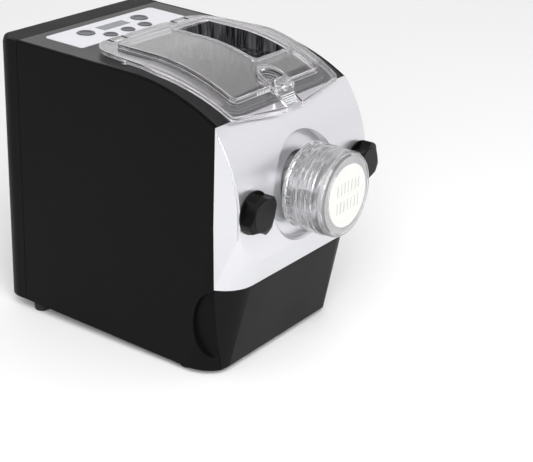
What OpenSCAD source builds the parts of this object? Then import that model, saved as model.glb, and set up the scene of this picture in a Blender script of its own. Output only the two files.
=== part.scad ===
// Electric pasta maker for the table top: a mixing chamber with an extruder screw, driven by a geared
// motor, in a moulded housing with a clear lid, a front fascia held by two knobs and a drawer below.
//
// The modules share one frame: X runs across, Y runs from the front seam (0) to the back, and Z runs up
// from the underside of the housing. place() moves that frame under the middle of the whole machine,
// with the feet on Z = 0. A pair of pieces that run on each other is parted by running_gap or more.

/* [Housing] */
// Width across the two side panels
body_w = 200; // [190:1:240]
// Length from the front seam to the rear seam
body_l = 229; // [222:1:275]
// Height of the housing near the rear seam, without the feet
body_h = 261; // [250:1:313]
// Depth of the rear cover behind the rear seam
rear_depth = 29; // [24:1:40]
// Radius of the rear cover's upright corners
rear_corner_r = 20; // [8:1:26]
// Wall thickness of the moulded housing parts
wall = 3; // [2:0.2:4]
// Thickness of the side panels
panel_t = 3; // [2:0.2:4]
// Gap left at a seam between two housing parts
seam = 0.5; // [0.3:0.1:1]
// Slope of the flat part of the deck, in degrees
deck_tilt = 1.64; // [1:0.1:3]
// Radius of the curve that leads from the deck down to the fascia
nose_r = 205; // [195:1:230]
// Distance of that curve's centre behind the front seam
nose_y = 105; // [98:1:112]
// Height of the rubber feet
foot_h = 11.5; // [10:0.5:15]
// Radius of the rubber feet
foot_r = 8.5; // [7:0.5:10.5]
// How much lower the side panels reach at the front than at the back
skirt_drop = 7; // [4:0.5:8]

/* [Front fascia] */
// Height of the fascia's lower edge, which is also the height of the drawer front
fascia_z = 78.5; // [70:0.5:95]
// How far the fascia stands out at its belly
fascia_bulge = 28.5; // [24:0.5:34]
// Height of the belly
belly_z = 148; // [140:1:178]
// How far the fascia's lower edge stands out
fascia_toe = 20.3; // [16:0.5:24]
// Height of the shield's lower edge
shield_z = 105; // [98:1:112]
// Radius of the shield's lower corners
shield_r = 42; // [30:1:50]
// Radius of the corners at the fascia's lower edge
toe_r = 32; // [28:1:34]
// How far the drawer front's lower edge stands in front of the seam
drawer_toe = 4; // [2:0.5:8]
// Radius of the dished recess round the nozzle
dish_r = 49.5; // [47:0.5:56]
// Depth of the dished recess below the front surface
dish_depth = 8; // [6:0.5:9]

/* [Extruder] */
// Height of the screw's axis above the underside of the housing
axis_z = 156.5; // [150:0.5:180]
// Bore radius of the extrusion barrel
barrel_r = 23; // [20:0.5:26]
// Outer radius of the clear ring nut
nut_r = 40; // [38:0.5:48]
// Distance from the seam to the back edge of the ring nut
nut_back_y = 29.2; // [26:0.2:32]
// Distance from the seam to the front face of the ring nut
nut_front_y = 71; // [66:0.5:80]
// Radius of the visible face of the shaping die
die_r = 29; // [26:0.5:32]
// Pitch of the extruder screw
screw_pitch = 22; // [18:1:26]

/* [Mixing chamber] */
// Inner radius of the trough
trough_r = 58; // [54:0.5:61]
// Half of the chamber's inner width at the deck
mouth_half = 63.5; // [62:0.5:70]
// Outer length of the chamber
chamber_l = 133; // [125:1:140]
// Distance from the seam to the chamber's front wall
chamber_y = 10; // [8:0.5:14]
// Radius swept by the mixing paddle
paddle_r = 53; // [48:0.5:54]

/* [Lid] */
// Half width of the lid's rim at its widest
lid_half = 89.5; // [88:0.5:94]
// Thickness of the clear lid
lid_t = 2.8; // [2:0.1:3.4]
// Height of the underside of the rim above the deck
lid_lift = 3.4; // [3.2:0.1:4]
// Height of the raised window of the lid above the deck
window_lift = 10; // [9:0.5:14]
// Half width of the raised window
window_half = 66; // [65:0.5:74]
// Length of the pour-in opening
pour_l = 98; // [80:1:99]
// Width of the pour-in opening
pour_w = 54; // [44:1:55]
// Distance of the hinge axis behind the front seam
hinge_y = 157.8; // [156:0.2:160]

/* [Knobs and buttons] */
// Outer radius of the fascia knobs
knob_r = 20; // [16:0.5:22]
// Depth of the fascia knobs
knob_depth = 14; // [11:0.2:17]
// Distance of each knob's axis from the side of the housing
knob_inset = 16.6; // [16:0.2:22]
// Number of grips round each knob
knob_lobes = 4; // [3:1:5]
// Radius of the two large buttons
large_button_r = 8.6; // [7:0.2:10]
// Radius of the three small buttons
small_button_r = 6.8; // [5:0.2:7.4]

/* [Drawer] */
// Inner length of the drawer tray
tray_l = 168; // [120:1:182]
// Wall thickness of the drawer tray
tray_t = 2.2; // [1.6:0.2:3]

/* [Drive] */
// Module of the gears
gear_module = 1.25; // [1:0.05:1.3]
// Outer radius of the motor
motor_r = 32; // [26:1:34]
// Length of the motor between its end faces
motor_l = 50; // [40:1:55]

/* [Hidden] */

$fn = 64;
half_w = body_w / 2;
fit_gap = 0.3;        // between two fixed pieces that sit against each other
running_gap = 0.4;    // between two pieces that move past each other
cover_half = half_w - panel_t - seam;
y_back = body_l + rear_depth;
y_front = -nut_front_y - 1;
y_mid = (y_back + y_front) / 2;
base_t = 3;

// ---- deck profile ----
crown_y = body_l - 14;
nose_rise = 0.1;
function deck_line(y) = body_h - (crown_y - y) * tan(deck_tilt);
nose_z = deck_line(nose_y) + nose_rise - nose_r;
function deck_disc(y, off) = nose_z + sqrt(pow(nose_r + off, 2) - pow(y - nose_y, 2));
function deck_flat(y, off) = deck_line(y) + off / cos(deck_tilt);
function deck_z(y, off = 0) =
    y > nose_y ? deck_flat(y, off) : min(deck_flat(y, off), deck_disc(y, off));
fascia_top = deck_disc(0, 0);
band_floor = fascia_z + 30;

// ---- fascia profile ----
fascia_arc_dz = fascia_top - belly_z;
fascia_arc_r = (pow(fascia_bulge, 2) + pow(fascia_arc_dz, 2)) / (2 * fascia_bulge);
fascia_arc_end = asin(fascia_arc_dz / fascia_arc_r);
knob_x = half_w - knob_inset;
knob_z = axis_z - 0.9;
knob_back_y = fascia_bulge + 0.3;

// ---- stations along the drive, from the chamber back to the fan ----
chamber_end = chamber_y + chamber_l;
bulkhead_y = chamber_end + 4;
bulkhead_t = 2;
gearbox_y = bulkhead_y + bulkhead_t + fit_gap;
gearbox_depth = 30;
gearbox_end = gearbox_y + gearbox_depth;
cover_end = gearbox_end + wall;
motor_y = cover_end + fit_gap;
motor_end = motor_y + motor_l;
slow_gear_y = gearbox_y + 5;
slow_gear_t = 11;
fast_gear_y = slow_gear_y + slow_gear_t + 2.5;
fast_gear_t = 8;

// ---- gears: output 58 on 14, first stage 48 on 12 ----
output_teeth = 58;
small_teeth = 14;
wheel_teeth = 48;
pinion_teeth = 12;
slow_centres = gear_module * (output_teeth + small_teeth) / 2;
fast_centres = gear_module * (wheel_teeth + pinion_teeth) / 2;
idler_x = 0.8 * slow_centres;
idler_z = axis_z - 0.6 * slow_centres;
motor_z = idler_z - sqrt(pow(fast_centres, 2) - pow(idler_x, 2));
idler_angle = atan2(idler_z - axis_z, idler_x);
motor_angle = atan2(motor_z - idler_z, -idler_x);

// ---- drawer ----
frame_top = fascia_z - 1.5;
frame_t = 2;
frame_half = half_w - 8;
frame_y = 26;
tray_half = half_w - 19;
tray_y = -1;
tray_z = base_t + 3;
tray_h = frame_top - frame_t - tray_z - 6;
front_gap = 0.6;
lean = atan((fascia_toe - drawer_toe) / (fascia_z + skirt_drop));
function toe_at(z) = fascia_toe - (fascia_z - z) * tan(lean);

// ---- lid ----
window_y0 = 6;
window_y1 = 140;
window_corner = 7;
rim_front = 14.4;
pour_x1 = window_half - lid_t - 2.7;
pour_x0 = pour_x1 - pour_w;
pour_y1 = window_y1 - lid_t - 2.2;
pour_y0 = pour_y1 - pour_l;
hinge_z = deck_z(hinge_y) + 3.8;
hinge_x = 45;
hinge_w = 14;
knuckle_r = 3;
hinge_pin_r = 1.2;
latch_y = 2;
latch_z = deck_z(latch_y) + 9.8;
latch_half = 11;
post_t = 2.2;
latch_pin_r = 1.2;
finger_r = 12.5;

// ---- controls ----
plate_half = 75;
plate_y1 = body_l - 11.4;
plate_y0 = plate_y1 - 46.6;
large_button_x = 38;
large_button_y = plate_y1 - 17.6;
small_button_pitch = 24.5;
small_button_y = plate_y1 - 36.4;
display_half = 19;
display_y0 = plate_y1 - 24;
display_l = 13;
board_drop = 12;
button_travel = 1;

// ---- colours ----
black = "#262627";
charcoal = "#333336";
silver = "#dcdde0";
white = "#ececee";
clear = "#c9ced3";
steel = "#a9acb0";
brass = "#b79a56";
rubber = "#1c1c1d";
green = "#2f6b45";

// ================= helpers =================
module place() {
    translate([0, -y_mid, foot_h]) children();
}

// Draws a side view, with Y to the right and Z up, and carries it across the machine
module across(w) {
    rotate([90, 0, 90]) linear_extrude(w, center = true) children();
}

// A rod along Y from y0 to y1
module rod(r, y0, y1, x = 0, z = 0) {
    translate([x, y1, z]) rotate([90, 0, 0]) cylinder(r = r, h = y1 - y0);
}

// A front view, with X to the right and Z up, carried w / 2 to each side of Y 0
module across_y(w) {
    translate([0, w / 2, 0]) rotate([90, 0, 0]) linear_extrude(w) children();
}

// A front view, with X to the right and Z up, carried from y0 back to y1
module frontal(y0, y1) {
    translate([0, y1, 0]) rotate([90, 0, 0]) linear_extrude(y1 - y0) children();
}

module box(x0, x1, y0, y1, z0, z1) {
    translate([x0, y0, z0]) cube([x1 - x0, y1 - y0, z1 - z0]);
}

module both_sides() {
    children();
    mirror([1, 0, 0]) children();
}

function arc(c, r, a0, a1, n = 8) =
    [for (i = [0:n]) let (a = a0 + (a1 - a0) * i / n) [c[0] + r * cos(a), c[1] + r * sin(a)]];

// Outline of a rectangle with round corners
function round_box(x0, y0, x1, y1, r, n = 6) = concat(
    arc([x1 - r, y0 + r], r, -90, 0, n), arc([x1 - r, y1 - r], r, 0, 90, n),
    arc([x0 + r, y1 - r], r, 90, 180, n), arc([x0 + r, y0 + r], r, 180, 270, n));

// Everything under the deck surface, or under a surface parallel to it, in the side view
module under_deck(off = 0) {
    intersection() {
        translate([crown_y, body_h]) rotate(deck_tilt) translate([-800, off - 900])
            square([1600, 900]);
        union() {
            translate([nose_y, nose_z]) circle(nose_r + off, $fn = 360);
            translate([nose_y, -100]) square([y_back + 40 - nose_y, body_h + 300]);
        }
    }
}

// The layer between two surfaces parallel to the deck, from y0 to y1, in the side view
module deck_layer(lo, hi, y0, y1) {
    intersection() {
        difference() {
            under_deck(hi);
            under_deck(lo);
        }
        translate([y0, band_floor]) square([y1 - y0, body_h]);
    }
}

// A piece of that layer with the given outline in plan
module deck_slab(lo, hi) {
    intersection() {
        across(body_w + 20) deck_layer(lo, hi, -40, y_back);
        translate([0, 0, band_floor]) linear_extrude(body_h) children();
    }
}

// ================= housing =================
finger_l = 21;
finger_half = 34;
finger_z = fascia_z / 2 + 2;
finger_depth = 5.5;
finger_slope = 12.4;
finger_wall = 2;
groove_w = min(1.2, panel_t - 1.2);
groove_depth = 2;

// A prism along the leaning front corners. Its outline starts at the front face and runs backwards.
module lean_prism() {
    translate([0, -fascia_toe, fascia_z]) rotate([lean, 0, 0]) translate([0, 0, -110])
        linear_extrude(200) children();
}

// The skin round the right front corner, between the insets g0 and g1
module corner_skin(g0, g1) {
    c = [half_w - toe_r, toe_r];
    lean_prism() polygon(concat([[half_w - g1, toe_r + 1], [half_w - g0, toe_r + 1]],
        arc(c, toe_r - g0, 0, -90, 16), [[c[0] - 2, g0], [c[0] - 2, g1]],
        arc(c, toe_r - g1, -90, 0, 16)));
}

// What is outside the right front corner
module corner_cutter() {
    lean_prism() polygon(concat([[half_w + 2, toe_r]], arc([half_w - toe_r, toe_r], toe_r, 0, -90, 16),
        [[half_w - toe_r, -4], [half_w + 2, -4]]));
}

// The finger recess beside the drawer front: half an ellipse in the side view, with a sloping floor
module finger_cut(g) {
    intersection() {
        translate([half_w - 10, 0, 0]) across(40) polygon(concat([[-20, finger_z - finger_half - g]],
            [for (i = [0:24]) let (a = -90 + 180 * i / 24)
                [(finger_l + g) * cos(a), finger_z + (finger_half + g) * sin(a)]],
            [[-20, finger_z + finger_half + g]]));
        translate([half_w - finger_depth - g, finger_l, 0]) rotate(-finger_slope)
            translate([0, -60, -20]) cube([60, 120, 160]);
    }
}

// The right side panel; the left one is its mirror image
module side_panel() {
    edge_step = 0.6;
    edge_t = 0.8;
    difference() {
        union() {
            // beside the deck runs a narrow groove; the edge outside it is flush with the deck
            panel_layer(panel_t, panel_t - groove_w, groove_depth);
            panel_layer(panel_t - groove_w, edge_t, 0);
            panel_layer(edge_t, 0, edge_step);
            intersection() {
                corner_skin(0, panel_t);
                translate([half_w, 0, 0]) across(60) panel_outline(0);
            }
            intersection() {
                finger_cut(finger_wall);
                box(half_w - 30, half_w - 0.2, seam, 40, base_t + fit_gap, fascia_z);
            }
            panel_ribs();
        }
        corner_cutter();
        finger_cut(0);
        for (p = cover_screws()) rod(1.82, body_l - 12, body_l + 1, p[0], p[1]);
    }
}

// The part of the side panel between two depths from its outer face, its top edge lowered by inset
module panel_layer(deep, shallow, inset) {
    translate([half_w - (deep + shallow) / 2, 0, 0]) across(deep - shallow) panel_outline(inset);
}

module panel_outline(inset) {
    intersection() {
        under_deck(-inset);
        polygon([[seam, -skirt_drop], [body_l - seam, 0], [body_l - seam, body_h + 50],
            [seam, body_h + 50]]);
    }
}

// Upright ribs and the screw bosses on the inside of a side panel
module panel_ribs() {
    rib_d = 2.5;
    for (y = [60:36:body_l - 20])
        box(half_w - panel_t - rib_d, half_w - panel_t + 0.5, y, y + 1.6, 24, deck_z(y) - 26);
    for (p = cover_screws()) if (p[0] > 0) {
        rod(5, body_l - 10, body_l - seam, p[0], p[1]);
        box(p[0], half_w - panel_t + 0.5, body_l - 10, body_l - seam, p[1] - 1.5, p[1] + 1.5);
    }
}

module side_panel_right() {
    color(black) side_panel();
}

module side_panel_left() {
    color(black) mirror([1, 0, 0]) side_panel();
}

// Outline of the opening in the deck that the mixing chamber hangs in
chamber_clear = 1;
function chamber_hole(g) = round_box(-mouth_half - wall - g, chamber_y - g,
    mouth_half + wall + g, chamber_end + g, 2);

module top_cover() {
    skirt = 12;
    color(charcoal) difference() {
        union() {
            across(2 * cover_half) deck_layer(-wall, 0, seam, body_l - seam);
            both_sides() translate([cover_half - wall / 2, 0, 0]) across(wall)
                deck_layer(-wall - skirt, -wall / 2, seam, body_l - seam);
            both_sides() hinge_ears();
        }
        translate([0, 0, band_floor]) linear_extrude(body_h) polygon(chamber_hole(chamber_clear));
        deck_slab(-0.6, 5) polygon(round_box(-plate_half - 0.2, plate_y0 - 0.2, plate_half + 0.2,
            plate_y1 + 0.2, 4));
        for (s = [-1, 1])
            button_well(s * large_button_x, large_button_y, large_button_r);
        for (i = [-1, 0, 1])
            button_well(i * small_button_pitch, small_button_y, small_button_r);
        box(-display_half - 0.2, display_half + 0.2, display_y0 - 0.2,
            display_y0 + display_l + 0.2, body_h - 20, body_h + 20);
        // pocket for the reed switch is under the deck, so the magnet faces a thin wall
        reed_pocket(0.2);
    }
}

module button_well(x, y, r) {
    translate([x, y, body_h - 30]) cylinder(r = r + 0.4, h = 60);
}

// A pair of ears on each side of one lid knuckle, with the bore for its pin
ear_t = 3.5;
module hinge_ears() {
    difference() {
        for (s = [-1, 1])
            translate([hinge_x + s * (hinge_w / 2 + ear_t / 2 + running_gap), 0, 0]) across(ear_t)
                intersection() {
                    polygon([[hinge_y - 5, deck_z(hinge_y) - 1], [hinge_y + 5, deck_z(hinge_y) - 1],
                        [hinge_y + 2.4, hinge_z + 2], [hinge_y + 1.2, hinge_z + 2.6],
                        [hinge_y - 1.2, hinge_z + 2.6], [hinge_y - 2.4, hinge_z + 2]]);
                    translate([0, 0]) square([y_back, body_h + 40]);
                }
        hinge_bore(hinge_pin_r + 0.02);
    }
}

module hinge_bore(r) {
    translate([hinge_x - 20, hinge_y, hinge_z]) rotate([0, 90, 0]) cylinder(r = r, h = 40);
}

// Rounded plan outline of the rear cover, inset by g
module rear_plan(g) {
    polygon(concat([[-half_w + g, body_l - 1], [half_w - g, body_l - 1]],
        arc([half_w - rear_corner_r, y_back - rear_corner_r], rear_corner_r - g, 0, 90, 12),
        arc([-half_w + rear_corner_r, y_back - rear_corner_r], rear_corner_r - g, 90, 180, 12)));
}

// Side outline of the rear cover: flush with the deck, with round edges at the top and the bottom
module rear_side(g) {
    top_r = 7;
    low_r = 10;
    z1 = deck_line(body_l) - g;
    polygon(concat([[body_l, g], [body_l, z1]],
        arc([y_back - top_r, deck_line(y_back) - top_r], top_r - g, 90, 0, 6),
        arc([y_back - low_r, low_r], low_r - g, 0, -90, 8)));
}

// What the round top edge at the right rear corner leaves out, swept square to the corner's diagonal
module corner_rounding() {
    r = min(8, 0.4 * rear_corner_r);
    top = deck_line(y_back - 0.3 * rear_corner_r);
    c = rear_corner_r - r + 0.1;
    translate([half_w - rear_corner_r, y_back - rear_corner_r, 0]) rotate(45) across_y(3 * rear_corner_r)
        polygon(concat([[c, top + 9], [c, top]], arc([c, top - r], r, 90, 0, 8),
            [[rear_corner_r + 9, top - r], [rear_corner_r + 9, top + 9]]));
}

function cover_screws() = [for (x = [-1, 1], z = [20, body_h - 26]) [x * (half_w - 17), z]];

inlet_x = -52;
inlet_z = 42;
inlet_w = 28;
inlet_h = 20.5;

module rear_cover() {
    slot_w = 3;
    slot_pitch = 7;
    color(black) difference() {
        union() {
            difference() {
                intersection() {
                    linear_extrude(body_h + 40) rear_plan(0);
                    across(body_w + 10) rear_side(0);
                }
                intersection() {
                    linear_extrude(body_h + 40) rear_plan(wall);
                    across(body_w + 10) union() {
                        rear_side(wall);
                        translate([body_l - 5, wall]) square([5 + seam, deck_line(body_l) - 2 * wall]);
                    }
                }
            }
            for (p = cover_screws()) rod(5.5, body_l + 0.3, y_back - wall / 2, p[0], p[1]);
        }
        both_sides() corner_rounding();
        both_sides() translate([half_w - panel_t + groove_w / 2, 0, 0]) across(groove_w)
            polygon([for (p = [[body_l - 1, -1.2], [y_back - rear_corner_r, -1.2],
                [y_back - rear_corner_r, 5], [body_l - 1, 5]]) [p[0], deck_line(p[0]) + p[1]]]);
        for (p = cover_screws()) {
            rod(1.9, body_l - 1, y_back + 1, p[0], p[1]);
            rod(4, body_l + 8, y_back + 1, p[0], p[1]);
        }
        for (i = [-5:5]) for (z = [motor_z - 34, motor_z + 4])
            box(i * slot_pitch - slot_w / 2, i * slot_pitch + slot_w / 2, y_back - 6, y_back + 1, z, z + 30);
        for (i = [-4:4]) box(i * slot_pitch - slot_w / 2, i * slot_pitch + slot_w / 2, y_back - 6,
            y_back + 1, body_h - 64, body_h - 44);
        box(inlet_x - inlet_w / 2 - 0.2, inlet_x + inlet_w / 2 + 0.2, y_back - 8, y_back + 1,
            inlet_z - inlet_h / 2 - 0.2, inlet_z + inlet_h / 2 + 0.2);
    }
}

module base_plate() {
    foot_rows = foot_places();
    corner_y = toe_r - toe_at(0);
    corner_r = toe_r - panel_t - seam;
    color(black) difference() {
        union() {
            linear_extrude(base_t) intersection() {
                polygon(round_box(-cover_half, 1.5, cover_half, body_l - seam, 5));
                polygon(concat([[cover_half, body_l], [-cover_half, body_l]],
                    arc([-half_w + toe_r, corner_y], corner_r, 180, 270, 12),
                    arc([half_w - toe_r, corner_y], corner_r, 270, 360, 12)));
            }
            for (p = foot_rows) translate([p[0], p[1], 0]) cylinder(r = foot_boss_r, h = base_t + 5);
        }
        for (p = foot_rows) translate([p[0], p[1], -1]) cylinder(r = 2.2, h = 20);
        // cooling slots under the motor
        for (i = [-4:4]) box(i * 8 - 1.5, i * 8 + 1.5, body_l - 46, body_l - 14, -1, base_t + 1);
    }
}

foot_boss_r = 4.2;
foot_front_y = 35;
foot_rear_y = body_l - 10;
foot_x = half_w - panel_t - 0.6 - foot_r;
function foot_places() = [for (x = [-foot_x, foot_x], y = [foot_front_y, foot_rear_y]) [x, y]];

module feet() {
    color(rubber) for (p = foot_places()) translate([p[0], p[1], 0]) difference() {
        rotate_extrude() polygon([[0, -foot_h], [foot_r - 2, -foot_h], [foot_r - 0.8, -foot_h + 0.8],
            [foot_r, -1.5], [foot_r - 0.5, 0], [0, 0]]);
        translate([0, 0, -foot_h - 1]) cylinder(r = 4.2, h = 4);
        translate([0, 0, -foot_h - 1]) cylinder(r = 2.2, h = foot_h + 2);
    }
}

// Foot screws from below and cover screws from behind, all the same pan head screw
module case_screws() {
    screw_l = 14;
    color(steel) {
        for (p = foot_places()) translate([p[0], p[1], -foot_h + 3]) screw(screw_l);
        for (p = cover_screws()) translate([p[0], body_l + 8, p[1]]) rotate([90, 0, 0]) screw(screw_l);
    }
}

// A screw with its head below Z = 0 and its shank above
module screw(l) {
    difference() {
        union() {
            translate([0, 0, -2.2]) cylinder(r = 3.6, h = 2.2);
            cylinder(r = 1.8, h = l);
        }
        for (a = [0, 90]) rotate(a) translate([-2, -0.4, -3]) cube([4, 0.8, 1.8]);
    }
}

// Folded steel frame over the drawer bay: a shelf, two side walls and their bottom flanges
module chassis_frame() {
    frame_end = body_l - 11;
    front_y = 4;
    corner = 8;
    color(steel) difference() {
        union() {
            translate([0, 0, frame_top - frame_t]) linear_extrude(frame_t) polygon([
                [-frame_half, frame_end], [-frame_half, front_y + corner], [corner - frame_half, front_y],
                [frame_half - corner, front_y], [frame_half, front_y + corner], [frame_half, frame_end]]);
            both_sides() box(frame_half - frame_t, frame_half, frame_y, frame_end, base_t + fit_gap,
                frame_top - frame_t / 2);
            both_sides() box(frame_half - frame_t / 2, frame_half + 2.2, frame_y, frame_end,
                base_t + fit_gap, base_t + fit_gap + frame_t);
        }
        for (p = foot_places()) translate([p[0], p[1], 0]) cylinder(r = foot_boss_r + 0.6, h = base_t + 8);
        // cooling holes in the shelf under the motor
        for (i = [-2:2]) box(i * 12 - 2, i * 12 + 2, motor_y + 6, motor_y + 36, frame_top - 5, frame_top + 1);
    }
}

// Steel plate behind the fascia; it carries the two studs and the barrel's flange
front_frame_y = 3;
front_frame_t = 2;
module front_frame() {
    foot_l = 14;
    z0 = frame_top + fit_gap;
    color(steel) difference() {
        union() {
            frontal(front_frame_y, front_frame_y + front_frame_t)
                polygon(round_box(-half_w + 8, z0, half_w - 8, fascia_top - 14, 6));
            both_sides() box(trough_r + 14, half_w - 10, front_frame_y + 0.5, front_frame_y + foot_l, z0,
                z0 + front_frame_t);
        }
        rod(barrel_r + 5.5, front_frame_y - 1, front_frame_y + 3, 0, axis_z);
        both_sides() rod(stud_r + 0.02, front_frame_y - 1, front_frame_y + 3, knob_x, knob_z);
    }
}

// Steel plate between the mixing chamber and the gearbox
module rear_bulkhead() {
    z0 = frame_top + fit_gap;
    color(steel) difference() {
        union() {
            frontal(bulkhead_y, bulkhead_y + bulkhead_t)
                polygon(round_box(-86, z0, 86, deck_z(bulkhead_y) - 22, 5));
            both_sides() box(74, 86, bulkhead_y + 0.5, bulkhead_y + 14, z0, z0 + bulkhead_t);
        }
        rod(12, bulkhead_y - 1, bulkhead_y + 3, 0, axis_z);
    }
}

// ================= front fascia and drawer front =================
// Plan outline at the lower edge, with round corners; toe is how far it stands out
module toe_plan(toe, r, g) {
    intersection() {
        polygon(concat([[half_w - g, 40], [-half_w + g, 40]],
            arc([-half_w + r, -toe + r], r - g, 180, 270, 10),
            arc([half_w - r, -toe + r], r - g, 270, 360, 10)));
        translate([-half_w, -toe - 1]) square([body_w, toe + 1.1]);
    }
}

// Front view of the shield, with its round lower corners
module shield_plan(g) {
    polygon(concat([[half_w - g, fascia_top + 2], [-half_w + g, fascia_top + 2]],
        arc([-half_w + shield_r, shield_z + shield_r], shield_r - g, 180, 270, 10),
        arc([half_w - shield_r, shield_z + shield_r], shield_r - g, 270, 360, 10)));
}

// Side view of the front: an arc from the seam down to the belly, and straight down from there
module fascia_side(g) {
    c = [fascia_arc_r - fascia_bulge, belly_z];
    polygon(concat([[20, fascia_z - 5], [20, fascia_top]],
        arc(c, fascia_arc_r - g, 180 - fascia_arc_end, 180, 28),
        [[-fascia_bulge + g, fascia_z - 5]]));
}

// The fascia's outer form, inset by g
module fascia_form(g) {
    intersection() {
        hull() {
            frontal(-fascia_bulge + g, -fascia_bulge + g + 0.1) shield_plan(g);
            translate([0, 0, fascia_z + g]) linear_extrude(0.1) toe_plan(fascia_toe, toe_r, g);
            box(-half_w + g, half_w - g, 0, 0.1, fascia_z + 60, fascia_top + 2);
        }
        across(body_w + 2) fascia_side(g);
    }
}

boss_r = 8;
module front_fascia() {
    color(silver) difference() {
        union() {
            difference() {
                fascia_form(0);
                fascia_form(wall);
            }
            intersection() {
                fascia_form(0);
                union() {
                    difference() {
                        rod(dish_r + wall, -60, -0.2, 0, axis_z);
                        across(body_w) fascia_side(dish_depth + wall);
                    }
                    both_sides() rod(boss_r, -60, -0.2, knob_x, knob_z);
                }
            }
        }
        dish();
        rod(barrel_r + 6, -60, 10, 0, axis_z);
        both_sides() rod(stud_r + 0.5, -60, 10, knob_x, knob_z);
        box(-half_w, half_w, -0.0, 5, 0, body_h);
        // fine groove along the crease between the front and each side
        both_sides() intersection() {
            translate([half_w, 0, 0]) across(2) difference() {
                fascia_side(1.4);
                fascia_side(2.9);
            }
            box(half_w - 2, half_w + 2, -40, -2.5, fascia_z + 30, fascia_top - 3);
        }
    }
}

// The dished recess: a steep turned wall, and a floor that follows the front's own curve
module dish() {
    difference() {
        translate([0, 0, axis_z]) rotate([90, 0, 0]) rotate_extrude($fn = 96) polygon([[0, 1],
            [dish_r - 2.5, 1], [dish_r - 0.6, fascia_bulge - 4], [dish_r + 0.6, fascia_bulge - 1.6],
            [dish_r + 3, fascia_bulge + 0.4], [dish_r + 3, 60], [0, 60]]);
        across(body_w) fascia_side(dish_depth);
    }
}

// The drawer front's outer form, inset by g: it leans back towards its lower edge
module drawer_form(g) {
    low_r = 4;
    z1 = fascia_z - front_gap - g;
    z0 = seam - skirt_drop;
    intersection() {
        lean_prism() polygon(concat([[half_w - g, 60], [-half_w + g, 60]],
            arc([-half_w + toe_r, toe_r], toe_r - g, 180, 270, 16),
            arc([half_w - toe_r, toe_r], toe_r - g, 270, 360, 16)));
        across(body_w + 2) polygon(concat([[6, z1], [-toe_at(z1) + g - 0.05, z1]],
            arc([-toe_at(z0) + low_r + 0.4, z0 + low_r], low_r - g, 180, 270, 6), [[6, z0 + g]]));
    }
}

module drawer_front() {
    boss_places = [for (x = [-60, 60], z = [18, fascia_z - 22]) [x, z]];
    color(charcoal) difference() {
        union() {
            difference() {
                drawer_form(0);
                drawer_form(wall);
            }
            intersection() {
                drawer_form(0);
                for (p = boss_places) rod(4.5, -30, tray_y - 0.05, p[0], p[1]);
            }
        }
        for (p = boss_places) rod(1.6, 2.4 - toe_at(p[1] - 2), tray_y + 5, p[0], p[1]);
        box(-half_w - 1, half_w + 1, -0.0, 8, -skirt_drop - 1, fascia_z + 1);
    }
}

module drawer_tray() {
    y1 = tray_y + tray_l + 2 * tray_t;
    inner = tray_half - tray_t;
    color(black) difference() {
        translate([0, 0, tray_z]) linear_extrude(tray_h)
            polygon(round_box(-tray_half, tray_y, tray_half, y1, 5));
        difference() {
            translate([0, 0, tray_z + tray_t]) linear_extrude(tray_h)
                polygon(round_box(-inner, tray_y + tray_t, inner, y1 - tray_t, 3));
            // low divider that keeps the spare dies at the back
            box(-tray_half, tray_half, y1 - 78, y1 - 76, 0, tray_z + 30);
        }
        for (x = [-60, 60], z = [18, fascia_z - 22]) rod(2, tray_y - 1, tray_y + tray_t + 1, x, z);
    }
}

module drawer_rails() {
    z0 = base_t + 0.02;
    color(steel) both_sides() {
        box(tray_half - 8, tray_half + 3, foot_front_y + 8, foot_rear_y - 8, z0, tray_z - fit_gap);
        box(tray_half + running_gap, tray_half + 3, foot_front_y + 8, foot_rear_y - 8, z0, tray_z + 10);
    }
}

// Spare dies standing in two rows on the floor of the tray, each with its own hole pattern
module spare_dies() {
    y1 = tray_y + tray_l + 2 * tray_t;
    z0 = tray_z + tray_t + 0.02;
    color(white) for (i = [0:3]) translate([-57 + 38 * i, y1 - 40, z0]) difference() {
        cylinder(r = 18, h = 6);
        if (i == 0) for (a = [0:60:300]) rotate(a) translate([10, 0, -1]) cylinder(r = 1.6, h = 8);
        if (i == 1) for (x = [-8:4:8]) translate([x - 0.6, -9, -1]) cube([1.2, 18, 8]);
        if (i == 2) for (a = [0:45:315]) rotate(a) translate([7, -1, -1]) cube([7, 2, 8]);
        if (i == 3) translate([-12, -0.8, -1]) cube([24, 1.6, 8]);
    }
}

// ================= knobs =================
stud_r = 3;
module fascia_studs() {
    y0 = -knob_back_y - knob_depth + 4;
    y1 = front_frame_y + front_frame_t + 4;
    color(steel) both_sides() {
        rod(stud_r, y0, front_frame_y + front_frame_t, knob_x, knob_z);
        rod(stud_r + 3, front_frame_y + front_frame_t + 0.02, y1, knob_x, knob_z);
        rod(stud_r, front_frame_y + front_frame_t, y1, knob_x, knob_z);
    }
}

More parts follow.
